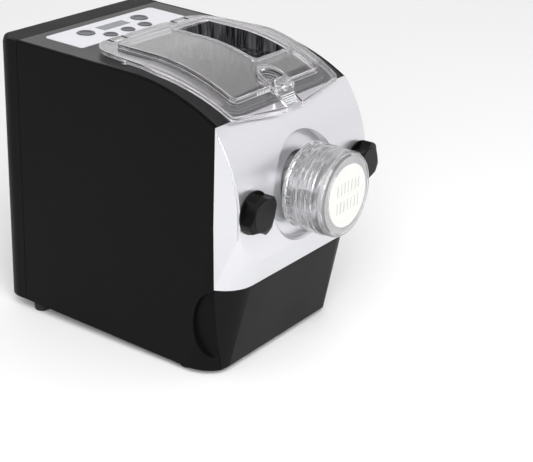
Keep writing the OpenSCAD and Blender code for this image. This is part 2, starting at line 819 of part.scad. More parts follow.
// A moulded star knob: a turned blank with a round base flange, scalloped between its grips
module knob() {
    scallop_r = 1.5 * knob_r;
    scallop_depth = 0.24 * knob_r;
    flange_t = 2;
    bevel = 5;
    first = 18;
    translate([knob_x, 0, knob_z]) difference() {
        translate([0, -knob_back_y, 0]) rotate([90, 0, 0]) rotate_extrude($fn = 96)
            polygon([[insert_r + 0.02, 0], [knob_r - 1, 0], [knob_r - 0.4, 0.6], [knob_r - 0.4, flange_t],
                [knob_r, flange_t + 0.4], [knob_r, knob_depth - 2.6], [knob_r - 0.8, knob_depth - 1.8],
                [knob_r - bevel, knob_depth - 0.7], [knob_r - bevel - 0.7, knob_depth], [3, knob_depth],
                [3, knob_depth - 1.2], [insert_r + 0.02, knob_depth - 1.2]]);
        for (i = [0:knob_lobes - 1]) rotate([0, -first - i * 360 / knob_lobes, 0])
            translate([knob_r + scallop_r - scallop_depth, 0, 0])
                rod(scallop_r, -knob_back_y - knob_depth - 1, -knob_back_y - flange_t);
    }
    translate([knob_x, 0, knob_z]) rod(insert_r + 1, -knob_back_y - knob_depth, -knob_back_y - knob_depth + 1.1);
}

insert_r = 5;
module knob_insert() {
    difference() {
        rod(insert_r, -knob_back_y - knob_depth + 2.4, -knob_back_y - 0.2, knob_x, knob_z);
        rod(stud_r + 0.05, -knob_back_y - knob_depth + 3, -knob_back_y + 1, knob_x, knob_z);
    }
}

module knob_right() {
    color(black) knob();
}

module knob_left() {
    color(black) mirror([1, 0, 0]) knob();
}

module knob_insert_right() {
    color(brass) knob_insert();
}

module knob_insert_left() {
    color(brass) mirror([1, 0, 0]) knob_insert();
}

// ================= extruder =================
head_r = nut_r - 3.5;
head_back = nut_back_y - 4;
die_flange_t = 3.8;
lip_t = 2.7;
head_front = nut_front_y - lip_t - fit_gap - die_flange_t - 0.2;

// The barrel: a tube with a flange at its root and a wide threaded head that widens towards the die
module extrusion_barrel() {
    flange_r = 34;
    flange_y = front_frame_y + front_frame_t + fit_gap;
    groove = 1.2;
    color(clear) translate([0, 0, axis_z]) rotate([90, 0, 0]) rotate_extrude($fn = 96) polygon(concat(
        [[barrel_r, -chamber_y - wall + 0.3], [barrel_r + 3.5, -chamber_y - wall + 0.3],
            [barrel_r + 3.5, -chamber_y + 0.3], [flange_r, -chamber_y + 0.3],
            [flange_r, -flange_y], [barrel_r + 4, -flange_y], [barrel_r + 4, head_back - 3],
            [head_r - 3, head_back], [head_r, head_back + 1]],
        [for (i = [0:4], p = [[head_r, 4 + 6 * i], [head_r - groove, 5 + 6 * i],
            [head_r - groove, 7 + 6 * i], [head_r, 8 + 6 * i]]) [p[0], head_back + p[1]]],
        [[head_r, head_front], [seal_ring_r + seal_w / 2, head_front], [seal_ring_r + seal_w / 2, head_front - 1.4],
            [seal_ring_r - seal_w / 2, head_front - 1.4], [seal_ring_r - seal_w / 2, head_front],
            [die_r + 1, head_front], [barrel_r, head_front - 7]]));
}

seal_ring_r = head_r - 3.2;
seal_w = 1.8;

module barrel_seal() {
    color(rubber) translate([0, 0, axis_z]) rotate([90, 0, 0]) rotate_extrude()
        translate([seal_ring_r, head_front - 0.6]) square([seal_w - 0.06, 1.5], center = true);
}

// White shaping die: a flange inside the nut and a face that shows, with two rows of ribbon slots
module shaping_die() {
    slot_w = 1.8;
    slot_l = 11;
    face_y = nut_front_y + 1;
    color(white) difference() {
        union() {
            rod(head_r - 1, -head_front - 0.2 - die_flange_t, -head_front - 0.2, 0, axis_z);
            rod(die_r, -face_y, -head_front - 2, 0, axis_z);
        }
        for (i = [-3:3], s = [-1, 1])
            box(i * 5.6 - slot_w / 2, i * 5.6 + slot_w / 2, -face_y - 1, 0,
                axis_z + s * 8.5 - slot_l / 2, axis_z + s * 8.5 + slot_l / 2);
    }
}

// Clear ring nut with grip ribs at its base, turned beads and an inward lip over the die
module die_nut() {
    rib_n = 28;
    beads = [12, 17, 22, 27];
    l = nut_front_y - nut_back_y;
    inner_r = head_r + running_gap;
    color(clear) translate([0, -nut_back_y, axis_z]) union() {
        rotate([90, 0, 0]) rotate_extrude($fn = 96) polygon(concat(
            [[inner_r, 0], [nut_r, 0], [nut_r, 2.4], [nut_r - 1.5, 3], [nut_r - 1.5, 9], [nut_r - 0.7, 9.4]],
            [for (b = beads, p = [[-0.7, -0.8], [0.0, 0], [0.0, 1.6], [-0.7, 2.4]]) [nut_r + p[0], b + p[1]]],
            [[nut_r - 0.7, l - 6], [nut_r - 1.2, l - 5.4], [nut_r - 0.7, l - 4.8], [nut_r - 0.6, l - 3],
                [nut_r - 2, l - 0.8], [nut_r - 4, l], [die_r + fit_gap, l], [die_r + fit_gap, l - lip_t],
                [inner_r, l - lip_t]]));
        for (i = [0:rib_n - 1]) rotate([0, i * 360 / rib_n, 0])
            translate([nut_r - 1.8, -8.9, -1.2]) cube([1.6, 6.4, 2.4]);
    }
}

// The screw: a core with one helical flight, a nose towards the die and a square tail for the paddle
module extruder_screw() {
    core_r = 9;
    flight_r = barrel_r - 1.2;
    y0 = -head_front + 8;
    y1 = chamber_y + 4;
    len = y1 - y0;
    color(white) {
        translate([0, y1, axis_z]) rotate([90, 0, 0]) linear_extrude(len, twist = -360 * len / screw_pitch,
            slices = 56) union() {
                circle(core_r, $fn = 24);
                polygon(concat([[0, -2.6]], arc([0, 0], flight_r, -9, 9, 3), [[0, 2.6]]));
            }
        rod(core_r - 2, y1 - 1, y1 + 2, 0, axis_z);
        box(-tail / 2, tail / 2, y1, y1 + tail_l, axis_z - tail / 2, axis_z + tail / 2);
    }
}

tail = 10;
tail_l = 16;

// The paddle: a hub with five mixing arms in a spiral, each with a blade at its end
module mixing_paddle() {
    hub_r = 12;
    y0 = chamber_y + 6.5;
    y1 = chamber_end - wall - 1;
    arms = 5;
    arm_pitch = (y1 - y0 - 22) / (arms - 1);
    color(white) difference() {
        union() {
            rod(hub_r, y0, y1, 0, axis_z);
            for (i = [0:arms - 1]) translate([0, y0 + 11 + arm_pitch * i, axis_z]) rotate([0, 36 + 144 * i, 0]) {
                translate([0, 0, 0]) cylinder(r = 4.5, h = paddle_r - 4);
                translate([0, 0, paddle_r - 5]) rotate([0, 0, 30]) translate([-3, -10, -4]) cube([6, 20, 8]);
            }
        }
        // square sockets for the screw's tail and for the drive shaft
        box(-tail / 2 - 0.1, tail / 2 + 0.1, y0 - 1, y0 + tail_l, axis_z - tail / 2 - 0.1, axis_z + tail / 2 + 0.1);
        box(-tail / 2 - 0.1, tail / 2 + 0.1, y1 - tail_l, y1 + 1, axis_z - tail / 2 - 0.1, axis_z + tail / 2 + 0.1);
    }
}

// ================= chamber =================
// Front view of the chamber: a round trough with walls that open towards the mouth
module trough(g) {
    zt = body_h + 20;
    lean = (mouth_half - trough_r) / (deck_z(window_y1) - axis_z);
    translate([0, axis_z]) circle(trough_r + g, $fn = 128);
    polygon([[-trough_r - g + 0.8, axis_z - 2], [trough_r + g - 0.8, axis_z - 2],
        [trough_r + g + lean * (zt - axis_z), zt], [-trough_r - g - lean * (zt - axis_z), zt]]);
}

rim_lo = 0.3;
rim_hi = 2.9;
module mixing_chamber() {
    hub_r = 17;
    color(clear) difference() {
        union() {
            intersection() {
                frontal(chamber_y, chamber_end) trough(wall);
                across(body_w) under_deck(rim_hi);
            }
            deck_slab(rim_lo, rim_hi) polygon(round_box(-mouth_half - 14, 2.5, mouth_half + 14,
                hinge_y - 7.5, 16));
            rod(hub_r, chamber_end - 1, bulkhead_y - 0.3, 0, axis_z);
        }
        frontal(chamber_y + wall, chamber_end - wall) trough(0);
        rod(barrel_r + 4, chamber_y - 5, chamber_y + wall + 1, 0, axis_z);
        rod(seal_r + 0.05, chamber_end - 1.5, bulkhead_y + 1, 0, axis_z);
        rod(shaft_r + 0.6, chamber_end - wall - 1, chamber_end, 0, axis_z);
    }
}

// ================= drive =================
shaft_r = 7;
seal_r = 12;
module drive_shaft() {
    y0 = chamber_end - wall - 1 - tail_l + 1;
    color(steel) {
        box(-tail / 2 + 0.05, tail / 2 - 0.05, y0, chamber_end - wall, axis_z - tail / 2 + 0.05,
            axis_z + tail / 2 - 0.05);
        rod(shaft_r, chamber_end - wall - 0.7, cover_end - 0.5, 0, axis_z);
    }
}

module ring(r0, r1, y0, y1, x, z) {
    difference() {
        rod(r1, y0, y1, x, z);
        rod(r0, y0 - 1, y1 + 1, x, z);
    }
}

module shaft_seal() {
    color(rubber) ring(shaft_r + 0.05, seal_r, chamber_end - 1.3, bulkhead_y - 0.5, 0, axis_z);
}

bush_r = 11;
module shaft_bushes() {
    color(brass) {
        ring(shaft_r + 0.04, bush_r, gearbox_y, gearbox_y + wall + 0.5, 0, axis_z);
        ring(shaft_r + 0.04, bush_r, gearbox_end - 1, cover_end - 0.2, 0, axis_z);
    }
}

// Front view of the gearbox, inset by g
module gearbox_plan(g) {
    hull() {
        translate([0, axis_z]) circle(gear_module * output_teeth / 2 + 6 - g, $fn = 40);
        translate([idler_x, idler_z]) circle(gear_module * wheel_teeth / 2 + 6 - g, $fn = 40);
        translate([0, motor_z]) circle(18 - g, $fn = 32);
    }
}

module gearbox_housing() {
    color(charcoal) difference() {
        frontal(gearbox_y, gearbox_end) gearbox_plan(0);
        frontal(gearbox_y + wall, gearbox_end + 1) gearbox_plan(wall);
        rod(bush_r + 0.02, gearbox_y - 1, gearbox_y + wall + 1, 0, axis_z);
        rod(axle_r + 0.02, gearbox_y + 1, gearbox_y + wall + 1, idler_x, idler_z);
    }
}

module gearbox_cover() {
    color(charcoal) difference() {
        frontal(gearbox_end + 0.02, cover_end) gearbox_plan(0);
        rod(bush_r + 0.02, gearbox_end - 1, cover_end + 1, 0, axis_z);
        rod(axle_r + 0.02, gearbox_end - 1, cover_end - 1, idler_x, idler_z);
        rod(10, gearbox_end - 1, cover_end + 1, 0, motor_z);
    }
}

// Involute tooth: half the angle it spans at radius r, in degrees
pressure = 20;
function involute(a) = tan(a) * 180 / PI - a;
function tooth_half(n, r, slack) = let (rb = gear_module * n / 2 * cos(pressure))
    90 / n - slack + involute(pressure) - involute(acos(min(1, rb / r)));

module gear_outline(n) {
    rp = gear_module * n / 2;
    rb = rp * cos(pressure);
    r0 = rp - 1.25 * gear_module;
    r1 = rp + 0.85 * gear_module;
    slack = 0.11 * 180 / PI / rp;
    radii = [max(rb, r0) + 0.01, rp, r1];
    polygon([for (i = [0:n - 1]) let (a = i * 360 / n) each concat(
        [[r0 * cos(a - tooth_half(n, radii[0], slack)), r0 * sin(a - tooth_half(n, radii[0], slack))]],
        [for (k = [0:2]) let (t = tooth_half(n, radii[k], slack)) [radii[k] * cos(a - t), radii[k] * sin(a - t)]],
        [for (k = [2:-1:0]) let (t = tooth_half(n, radii[k], slack)) [radii[k] * cos(a + t), radii[k] * sin(a + t)]],
        [[r0 * cos(a + tooth_half(n, radii[0], slack)), r0 * sin(a + tooth_half(n, radii[0], slack))]])]);
}

module output_gear() {
    color(white) difference() {
        translate([0, slow_gear_y + slow_gear_t, axis_z]) rotate([90, 0, 0]) linear_extrude(slow_gear_t)
            rotate(idler_angle) gear_outline(output_teeth);
        rod(shaft_r + 0.04, slow_gear_y - 1, slow_gear_y + slow_gear_t + 1, 0, axis_z);
        for (a = [0:60:300]) rotate_at(a) rod(6, slow_gear_y - 1, slow_gear_y + slow_gear_t + 1, 22, 0);
    }
}

module rotate_at(a) {
    translate([0, 0, axis_z]) rotate([0, a, 0]) children();
}

axle_r = 3;
module intermediate_gear() {
    color(white) difference() {
        translate([idler_x, 0, idler_z]) {
            translate([0, slow_gear_y + slow_gear_t, 0]) rotate([90, 0, 0]) linear_extrude(slow_gear_t)
                rotate(idler_angle + 180 + 180 / small_teeth) gear_outline(small_teeth);
            rod(6.2, slow_gear_y + slow_gear_t - 0.5, fast_gear_y + 0.5);
            translate([0, fast_gear_y + fast_gear_t, 0]) rotate([90, 0, 0]) linear_extrude(fast_gear_t)
                rotate(motor_angle) gear_outline(wheel_teeth);
        }
        rod(axle_r + 0.05, slow_gear_y - 1, fast_gear_y + fast_gear_t + 1, idler_x, idler_z);
    }
}

module intermediate_axle() {
    color(steel) rod(axle_r, gearbox_y + 1.1, cover_end - 1.1, idler_x, idler_z);
}

rotor_shaft_r = 3;
module motor_pinion() {
    color(brass) difference() {
        translate([0, fast_gear_y + fast_gear_t, motor_z]) rotate([90, 0, 0]) linear_extrude(fast_gear_t)
            rotate(motor_angle + 180 + 180 / pinion_teeth) gear_outline(pinion_teeth);
        rod(rotor_shaft_r + 0.03, fast_gear_y - 1, fast_gear_y + fast_gear_t + 1, 0, motor_z);
    }
}

module motor_rotor() {
    color(steel) {
        rod(rotor_shaft_r, fast_gear_y - 0.5, motor_end + 16, 0, motor_z);
        rod(17, motor_y + 9, motor_end - 9, 0, motor_z);
    }
}

// Motor body: a drawn can with a fixing flange, vented and open for the rotor's shaft
module motor_can() {
    color(steel) difference() {
        union() {
            rod(motor_r, motor_y, motor_end, 0, motor_z);
            rod(9.7, motor_y - 2.5, motor_y + 1, 0, motor_z);
            both_sides() rod(5, motor_y, motor_y + 3, motor_r + 1, motor_z);
        }
        rod(17.6, motor_y + 8, motor_end - 8, 0, motor_z);
        rod(rotor_shaft_r + 0.05, motor_y - 4, motor_end + 1, 0, motor_z);
        both_sides() rod(2, motor_y - 1, motor_y + 4, motor_r + 2, motor_z);
        for (a = [0:45:315]) translate([0, 0, motor_z]) rotate([0, a, 0])
            box(20, 26, motor_end - 6, motor_end + 1, -4, 4);
    }
}

module motor_fan() {
    y0 = motor_end + 5;
    color(black) difference() {
        union() {
            rod(8, y0, y0 + 9, 0, motor_z);
            for (a = [0:40:320]) translate([0, y0 + 4.5, motor_z]) rotate([0, a, 0])
                rotate([35, 0, 0]) translate([6, -1, -5]) cube([20, 1.8, 10]);
        }
        rod(rotor_shaft_r + 0.02, y0 - 1, y0 + 10, 0, motor_z);
    }
}

// ================= lid =================
// Plan outline of the lid's rim, inset by g
module lid_plan(g) {
    front_arc_r = 340;
    rear_r = 30;
    rear_y = hinge_y + 2.5;
    intersection() {
        hull() {
            for (s = [-1, 1]) {
                translate([s * (lid_half - 7 - rear_r), rear_y - rear_r]) circle(rear_r - g, $fn = 64);
                translate([s * (lid_half - 30), 75]) circle(30 - g, $fn = 64);
                translate([s * (lid_half - 14), 0.5]) circle(6 - g, $fn = 32);
            }
            translate([0, -rim_front + 20]) circle(19, $fn = 32);
        }
        translate([0, front_arc_r - rim_front]) circle(front_arc_r - g, $fn = 720);
    }
}

module window_plan(g) {
    polygon(round_box(-window_half + g, window_y0 + g, window_half - g, window_y1 - g, window_corner - g));
}

// Outline of the finger pocket: straight sides from the front wall and a round back
module finger_plan(g) {
    polygon(concat([[finger_r - g, -30], [finger_r - g, 12]], arc([0, 12], finger_r - g, 0, 180, 12),
        [[-finger_r + g, 12], [-finger_r + g, -30]]));
}

// Clear moulded lid: a rim that follows the deck with a turned-down lip, a raised window with the pour-in
// opening, a finger pocket for the latch with two posts, and two hinge knuckles
module lid() {
    lip_lo = 1.3;
    bead = 1.1;
    color(clear) difference() {
        union() {
            difference() {
                union() {
                    deck_slab(lid_lift, lid_lift + lid_t) lid_plan(0);
                    deck_slab(lip_lo, lid_lift + 0.5) difference() {
                        lid_plan(1.6);
                        lid_plan(3.8);
                    }
                    deck_slab(lid_lift, window_lift) window_plan(0);
                }
                deck_slab(lid_lift - 5, window_lift - lid_t) window_plan(lid_t);
            }
            // wall and raised ring round the finger pocket
            deck_slab(lid_lift, window_lift + 2.6) intersection() {
                difference() {
                    finger_plan(-post_t);
                    finger_plan(0);
                }
                translate([-30, window_y0 - 0.5]) square([60, 60]);
            }
            deck_slab(lid_lift, lid_lift + lid_t) intersection() {
                finger_plan(0);
                translate([-30, window_y0 + 1.5]) square([60, 60]);
            }
            // bead round the pour-in opening
            deck_slab(window_lift - 1, window_lift + bead) pour_frame(-1.8);
            both_sides() latch_post();
            both_sides() lid_knuckle();
            // bosses that the hinge and the chute are moulded round
            magnet_boss(3.4);
        }
        deck_slab(lid_lift - 6, window_lift + 20) polygon(round_box(pour_x0, pour_y0, pour_x1, pour_y1, 5));
        deck_slab(lid_lift + lid_t, window_lift + 20) finger_plan(0);
        // notch in the rim that the latch reaches down through and swings out of
        deck_slab(lid_lift - 4, window_lift + 20) translate([-latch_half - 0.8, -rim_front - 5])
            square([2 * latch_half + 1.6, rim_front + 5 + 7.5]);
        both_sides() hinge_bore(hinge_pin_r + 0.06);
        both_sides() ear_notches();
        translate([0, latch_y, latch_z]) rotate([0, 90, 0])
            cylinder(r = latch_pin_r + 0.02, h = 2 * latch_half + 14, center = true);
        magnet_boss(2.4);
    }
}

module pour_frame(g) {
    difference() {
        polygon(round_box(pour_x0 + g, pour_y0 + g, pour_x1 - g, pour_y1 - g, 6));
        polygon(round_box(pour_x0, pour_y0, pour_x1, pour_y1, 5));
    }
}

// Upright cheek that carries one end of the latch pin
module latch_post() {
    z_low = deck_z(window_y0) + lid_lift;
    translate([latch_half + running_gap + post_t / 2 + 0.4, 0, 0]) across(post_t)
        intersection() {
            polygon([[window_y0 + 1, z_low + 1], [latch_y - 3, z_low + 2.2], [latch_y - 3, latch_z + 2],
                [latch_y - 1.6, latch_z + 3.2], [window_y0 + 1, latch_z + 3.6]]);
            under_deck(window_lift + 2.6);
        }
}

module lid_knuckle() {
    translate([hinge_x - hinge_w / 2, hinge_y, hinge_z]) rotate([0, 90, 0])
        cylinder(r = knuckle_r, h = hinge_w);
    translate([hinge_x - hinge_w / 2, hinge_y - 6, hinge_z - 0.3]) cube([hinge_w, 6, 2.6]);
}

// Room in the rim for the ears on each side of a knuckle
module ear_notches() {
    notch_w = ear_t + 2 * running_gap;
    for (x = [hinge_x - hinge_w / 2 - notch_w, hinge_x + hinge_w / 2])
        translate([x, hinge_y - 7, hinge_z - 10]) cube([notch_w, 20, 30]);
}

module lid_hinge_pins() {
    reach = hinge_w / 2 + running_gap + ear_t;
    color(steel) both_sides() translate([hinge_x - reach, hinge_y, hinge_z]) rotate([0, 90, 0])
        cylinder(r = hinge_pin_r, h = 2 * reach);
}

// The latch: a hub on its pin, a thumb arm up into the finger pocket and a ribbed tab that hangs down in
// front of the seam
module lid_latch() {
    tab_y = -6.2;
    tab_z = deck_z(-6.2) + 0.9;
    color(clear) difference() {
        union() {
            translate([0, latch_y, latch_z]) rotate([0, 90, 0])
                cylinder(r = 2.9, h = 2 * latch_half, center = true);
            translate([0, 0, 0]) across(2 * latch_half - 6) polygon([
                [latch_y - 1.4, latch_z], [latch_y + 1.2, latch_z - 1], [latch_y + 4, latch_z + 7],
                [latch_y + 3.6, latch_z + 9.4], [latch_y + 2, latch_z + 9.2]]);
            across(2 * latch_half - 1) polygon([
                [latch_y - 2.6, latch_z + 1], [tab_y + 1.4, tab_z + 6.6], [tab_y - 1.8, tab_z + 1.4],
                [tab_y - 1.2, tab_z], [tab_y + 1.2, tab_z], [tab_y + 3.4, tab_z + 4.2],
                [latch_y + 1.6, latch_z - 2]]);
            for (i = [0:2]) translate([0, tab_y - 1.1 + 1.15 * i, tab_z + 2.6 + 1.9 * i])
                rotate([0, 90, 0]) cylinder(r = 0.75, h = 2 * latch_half - 1, center = true, $fn = 24);
        }
        translate([0, latch_y, latch_z]) rotate([0, 90, 0])
            cylinder(r = latch_pin_r + 0.06, h = 60, center = true);
        // slot round the spring's coils
        translate([0, latch_y, latch_z]) rotate([0, 90, 0]) cylinder(r = 4.2, h = 5.2, center = true);
    }
}

module latch_pin() {
    color(steel) translate([0, latch_y, latch_z]) rotate([0, 90, 0])
        cylinder(r = latch_pin_r, h = 2 * (latch_half + running_gap + post_t + 0.4), center = true);
}

// Torsion spring on the latch pin, drawn as closed coils
module latch_spring() {
    wire = 0.4;
    color(steel) for (i = [-2:2]) translate([i * 0.95, latch_y, latch_z]) rotate([0, 90, 0])
        rotate_extrude($fn = 32) translate([1.9, 0]) circle(wire, $fn = 16);
}

// Dark tray under the pour-in opening: its slotted floor slopes down towards the back
module feed_chute() {
    t = 1.6;
    x_mid = (pour_x0 + pour_x1) / 2;
    y0 = pour_y0 - 0.4;
    y1 = pour_y1 - 1;
    zf = deck_z(y0) + 4;
    zr = deck_z(y1) - 13;
    top = window_lift - lid_t - 0.05;
    color(charcoal) difference() {
        translate([x_mid, 0, 0]) across(pour_w + 2 * t) intersection() {
            polygon([[y0 - t, body_h + 30], [y0 - t, zf - t], [y1 - 8, zr - t], [y1 - 4, zr - t],
                [y1 + t, body_h + 30]]);
            under_deck(top);
        }
        translate([x_mid, 0, 0]) across(pour_w) polygon([[y0, body_h + 31], [y0, zf], [y1 - 8, zr],
            [y1 - 4 - t, zr], [y1, body_h + 31]]);
        for (i = [-3:3]) box(x_mid + i * 7 - 1.4, x_mid + i * 7 + 1.4, y0 + 14, y1 - 14, zr - 10, body_h);
    }
}

// Magnet in a pocket under the lid's rim, over a reed switch under the deck
magnet_x = -84;
magnet_y = 112;
module magnet_boss(r) {
    translate([magnet_x, magnet_y, deck_z(magnet_y) + 1.3]) cylinder(r = r, h = r < 3 ? 2.6 : 3);
}

module lid_magnet() {
    color(steel) translate([magnet_x, magnet_y, deck_z(magnet_y) + 1.4]) cylinder(r = 2.3, h = 2.3);
}

module reed_pocket(g) {
    translate([magnet_x - 8 - g, magnet_y - 3 - g, deck_z(magnet_y) - wall - 8])
        cube([16 + 2 * g, 6 + 2 * g, 9.6]);
}

module reed_switch() {
    color(white) translate([magnet_x - 8, magnet_y - 3, deck_z(magnet_y) - wall - 2.6]) cube([16, 6, 3.9]);
}

// ================= controls =================
module control_plate() {
    color(white) difference() {
        deck_slab(-0.55, 0.6) polygon(round_box(-plate_half, plate_y0, plate_half, plate_y1, 4));
        for (s = [-1, 1]) button_well(s * large_button_x, large_button_y, large_button_r);
        for (i = [-1, 0, 1]) button_well(i * small_button_pitch, small_button_y, small_button_r);
        box(-display_half - 0.1, display_half + 0.1, display_y0 - 0.1, display_y0 + display_l + 0.1,
            body_h - 20, body_h + 20);
    }
}

module display_window() {
    color("#8f9092") union() {
        deck_slab(-4.5, 0.5) translate([-display_half, display_y0]) square([2 * display_half, display_l]);
        deck_slab(-5.5, -wall - 0.05) translate([-display_half - 2, display_y0 - 2])
            square([2 * display_half + 4, display_l + 4]);
    }
}

// A button: a domed cap that shows, a collar below the deck and a stem down to its switch
module button(x, y, r) {
    z = deck_z(y);
    dome = 0.7;
    color(steel) translate([x, y, z]) {
        rotate_extrude() polygon([[0, -wall - 1.6], [r, -wall - 1.6], [r, 0.9], [r - 0.5, 1.4],
            [r * 0.72, 1.4], [r * 0.6, 1.4 - dome], [0, 1.4 - dome * 1.4]]);
        translate([0, 0, -wall - 2]) cylinder(r = r + 1.2, h = 1.4);
        translate([0, 0, -board_drop + 3.4]) cylinder(r = 2, h = board_drop - wall - 3.4 - 1.5);
    }
}

module large_button_left() {
    button(-large_button_x, large_button_y, large_button_r);
}

module large_button_right() {
    button(large_button_x, large_button_y, large_button_r);
}

module small_button_left() {
    button(-small_button_pitch, small_button_y, small_button_r);
}

module small_button_middle() {
    button(0, small_button_y, small_button_r);
}

module small_button_right() {
    button(small_button_pitch, small_button_y, small_button_r);
}

// Circuit board under the deck, parallel to it, with one switch under each button and the display unit
module control_board() {
    color(green) union() {
        deck_slab(-board_drop - 1.6, -board_drop) translate([-60, plate_y0 + 3]) square([120, plate_y1 - plate_y0 - 6]);
        for (s = [-1, 1]) tact_switch(s * large_button_x, large_button_y);
        for (i = [-1, 0, 1]) tact_switch(i * small_button_pitch, small_button_y);
        deck_slab(-board_drop - 0.5, -6) translate([-display_half, display_y0]) square([2 * display_half, display_l]);
    }
    color(steel) for (x = [-55, 55], y = [plate_y0 + 8, plate_y1 - 8])
        translate([x, y, deck_z(y) - board_drop - 0.5]) cylinder(r = 2.5, h = board_drop - wall + 0.3);
}

module tact_switch(x, y) {
    translate([x - 3, y - 3, deck_z(y) - board_drop - 0.8]) cube([6, 6, 2.6]);
}

module power_board() {
    z0 = frame_top + 4;
    x0 = -half_w + 14;
    y0 = motor_y - 18;
    color(green) box(x0, x0 + 40, y0, y0 + 56, z0, z0 + 1.6);
    color(steel) for (x = [x0 + 3, x0 + 37], y = [y0 + 4, y0 + 52])
        translate([x, y, frame_top + 0.02]) cylinder(r = 2.5, h = z0 - frame_top + 0.2);
    color(charcoal) {
        box(x0 + 5, x0 + 23, y0 + 8, y0 + 24, z0 + 1, z0 + 16);
        box(x0 + 6, x0 + 30, y0 + 32, y0 + 48, z0 + 1, z0 + 20);
        translate([x0 + 30, y0 + 16, z0 + 1]) cylinder(r = 5, h = 16);
    }
}

// Appliance inlet with three flat pins in its well
module power_inlet() {
    color(black) difference() {
        union() {
            box(inlet_x - inlet_w / 2, inlet_x + inlet_w / 2, y_back - 22, y_back - 0.5,
                inlet_z - inlet_h / 2, inlet_z + inlet_h / 2);
            box(inlet_x - inlet_w / 2 - 3, inlet_x + inlet_w / 2 + 3, y_back - wall - 2.3, y_back - wall - 0.3,
                inlet_z - inlet_h / 2 - 3, inlet_z + inlet_h / 2 + 3);
        }
        box(inlet_x - inlet_w / 2 + 2, inlet_x + inlet_w / 2 - 2, y_back - 18, y_back + 1,
            inlet_z - inlet_h / 2 + 2, inlet_z + inlet_h / 2 - 2);
        inlet_slots(0.02);
    }
}

module inlet_slots(g) {
    for (p = [[-7, -1.5], [0, 2.5], [7, -1.5]])
        box(inlet_x + p[0] - 1 - g, inlet_x + p[0] + 1 + g, y_back - 24, y_back - 8,
            inlet_z + p[1] - 2 - g, inlet_z + p[1] + 2 + g);
}

module inlet_pins() {
    color(steel) inlet_slots(0);
}

// ================= assembly =================
place() base_plate();
place() side_panel_left();
place() side_panel_right();
place() top_cover();
place() rear_cover();
place() front_fascia();
place() chassis_frame();
place() front_frame();
place() rear_bulkhead();
place() feet();
place() case_screws();
place() mixing_chamber();
place() extrusion_barrel();
place() barrel_seal();
place() shaping_die();
place() die_nut();
place() extruder_screw();
place() mixing_paddle();
place() drive_shaft();
place() shaft_bushes();
place() shaft_seal();
place() gearbox_housing();
place() gearbox_cover();
place() output_gear();
place() intermediate_gear();
place() intermediate_axle();
place() motor_can();
place() motor_rotor();
place() motor_pinion();
place() motor_fan();
place() fascia_studs();
place() knob_left();
place() knob_right();
place() knob_insert_left();
place() knob_insert_right();
place() lid();
place() lid_hinge_pins();
place() lid_latch();
place() latch_pin();
place() latch_spring();
place() feed_chute();
place() lid_magnet();
place() reed_switch();
place() control_plate();
place() display_window();
place() large_button_left();
place() large_button_right();
place() small_button_left();
place() small_button_middle();
place() small_button_right();
place() control_board();
place() power_board();
place() power_inlet();
place() inlet_pins();
place() drawer_tray();
place() drawer_front();
place() drawer_rails();
place() spare_dies();
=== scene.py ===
"""Finishes, turned and wound surfaces, and a plain studio for a table-top pasta maker.

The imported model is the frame. This file gives each of its pieces a finish, puts a smooth screw and
a wound spring in the place of plainer solids, adds small ribs to the latch and the lid, and sets
the stage and the camera.
"""
import math

import bpy
import numpy as np
from bpy.props import FloatProperty, FloatVectorProperty, IntProperty, PointerProperty
from mathutils import Matrix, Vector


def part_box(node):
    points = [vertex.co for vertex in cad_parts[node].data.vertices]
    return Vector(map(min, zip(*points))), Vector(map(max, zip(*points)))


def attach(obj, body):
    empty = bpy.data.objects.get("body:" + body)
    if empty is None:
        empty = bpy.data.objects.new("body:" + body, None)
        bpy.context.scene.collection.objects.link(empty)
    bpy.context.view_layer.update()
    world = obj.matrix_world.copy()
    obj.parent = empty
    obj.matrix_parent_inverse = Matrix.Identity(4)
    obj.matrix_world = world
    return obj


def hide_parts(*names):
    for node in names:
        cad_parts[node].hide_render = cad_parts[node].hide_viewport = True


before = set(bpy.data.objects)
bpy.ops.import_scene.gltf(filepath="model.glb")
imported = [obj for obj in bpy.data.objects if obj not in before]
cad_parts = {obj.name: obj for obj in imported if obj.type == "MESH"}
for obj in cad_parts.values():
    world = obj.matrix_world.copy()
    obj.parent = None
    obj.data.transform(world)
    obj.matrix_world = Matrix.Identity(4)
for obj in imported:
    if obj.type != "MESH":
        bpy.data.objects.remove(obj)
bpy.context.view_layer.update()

bl_info = {
    "name": "Pasta Maker Studio",
    "version": (1, 0, 0),
    "blender": (4, 5, 0),
    "location": "View3D > Sidebar > Pasta Maker",
    "description": "Finishes, turned surfaces and a studio for a table-top pasta maker",
    "category": "Object",
}

MM = 0.001

# The seam frame's origin, in mm: at the front seam, level with the base plate's underside.
SEAM = np.array([0.0, -93.0, 11.5])
# Height of the nozzle's and the screw's axis in the seam frame.
AXIS_Z = 156.5


def linear(code):
    """Turns an sRGB hex value to linear: a straight line below 0.04045 and a 2.4 power above it."""
    c = np.array([int(code[i : i + 2], 16) for i in (1, 3, 5)]) / 255
    lin = np.where(c <= 0.04045, c / 12.92, ((c + 0.055) / 1.055) ** 2.4)
    return (*lin.tolist(), 1.0)


# ---------------------------------------------------------------- settings


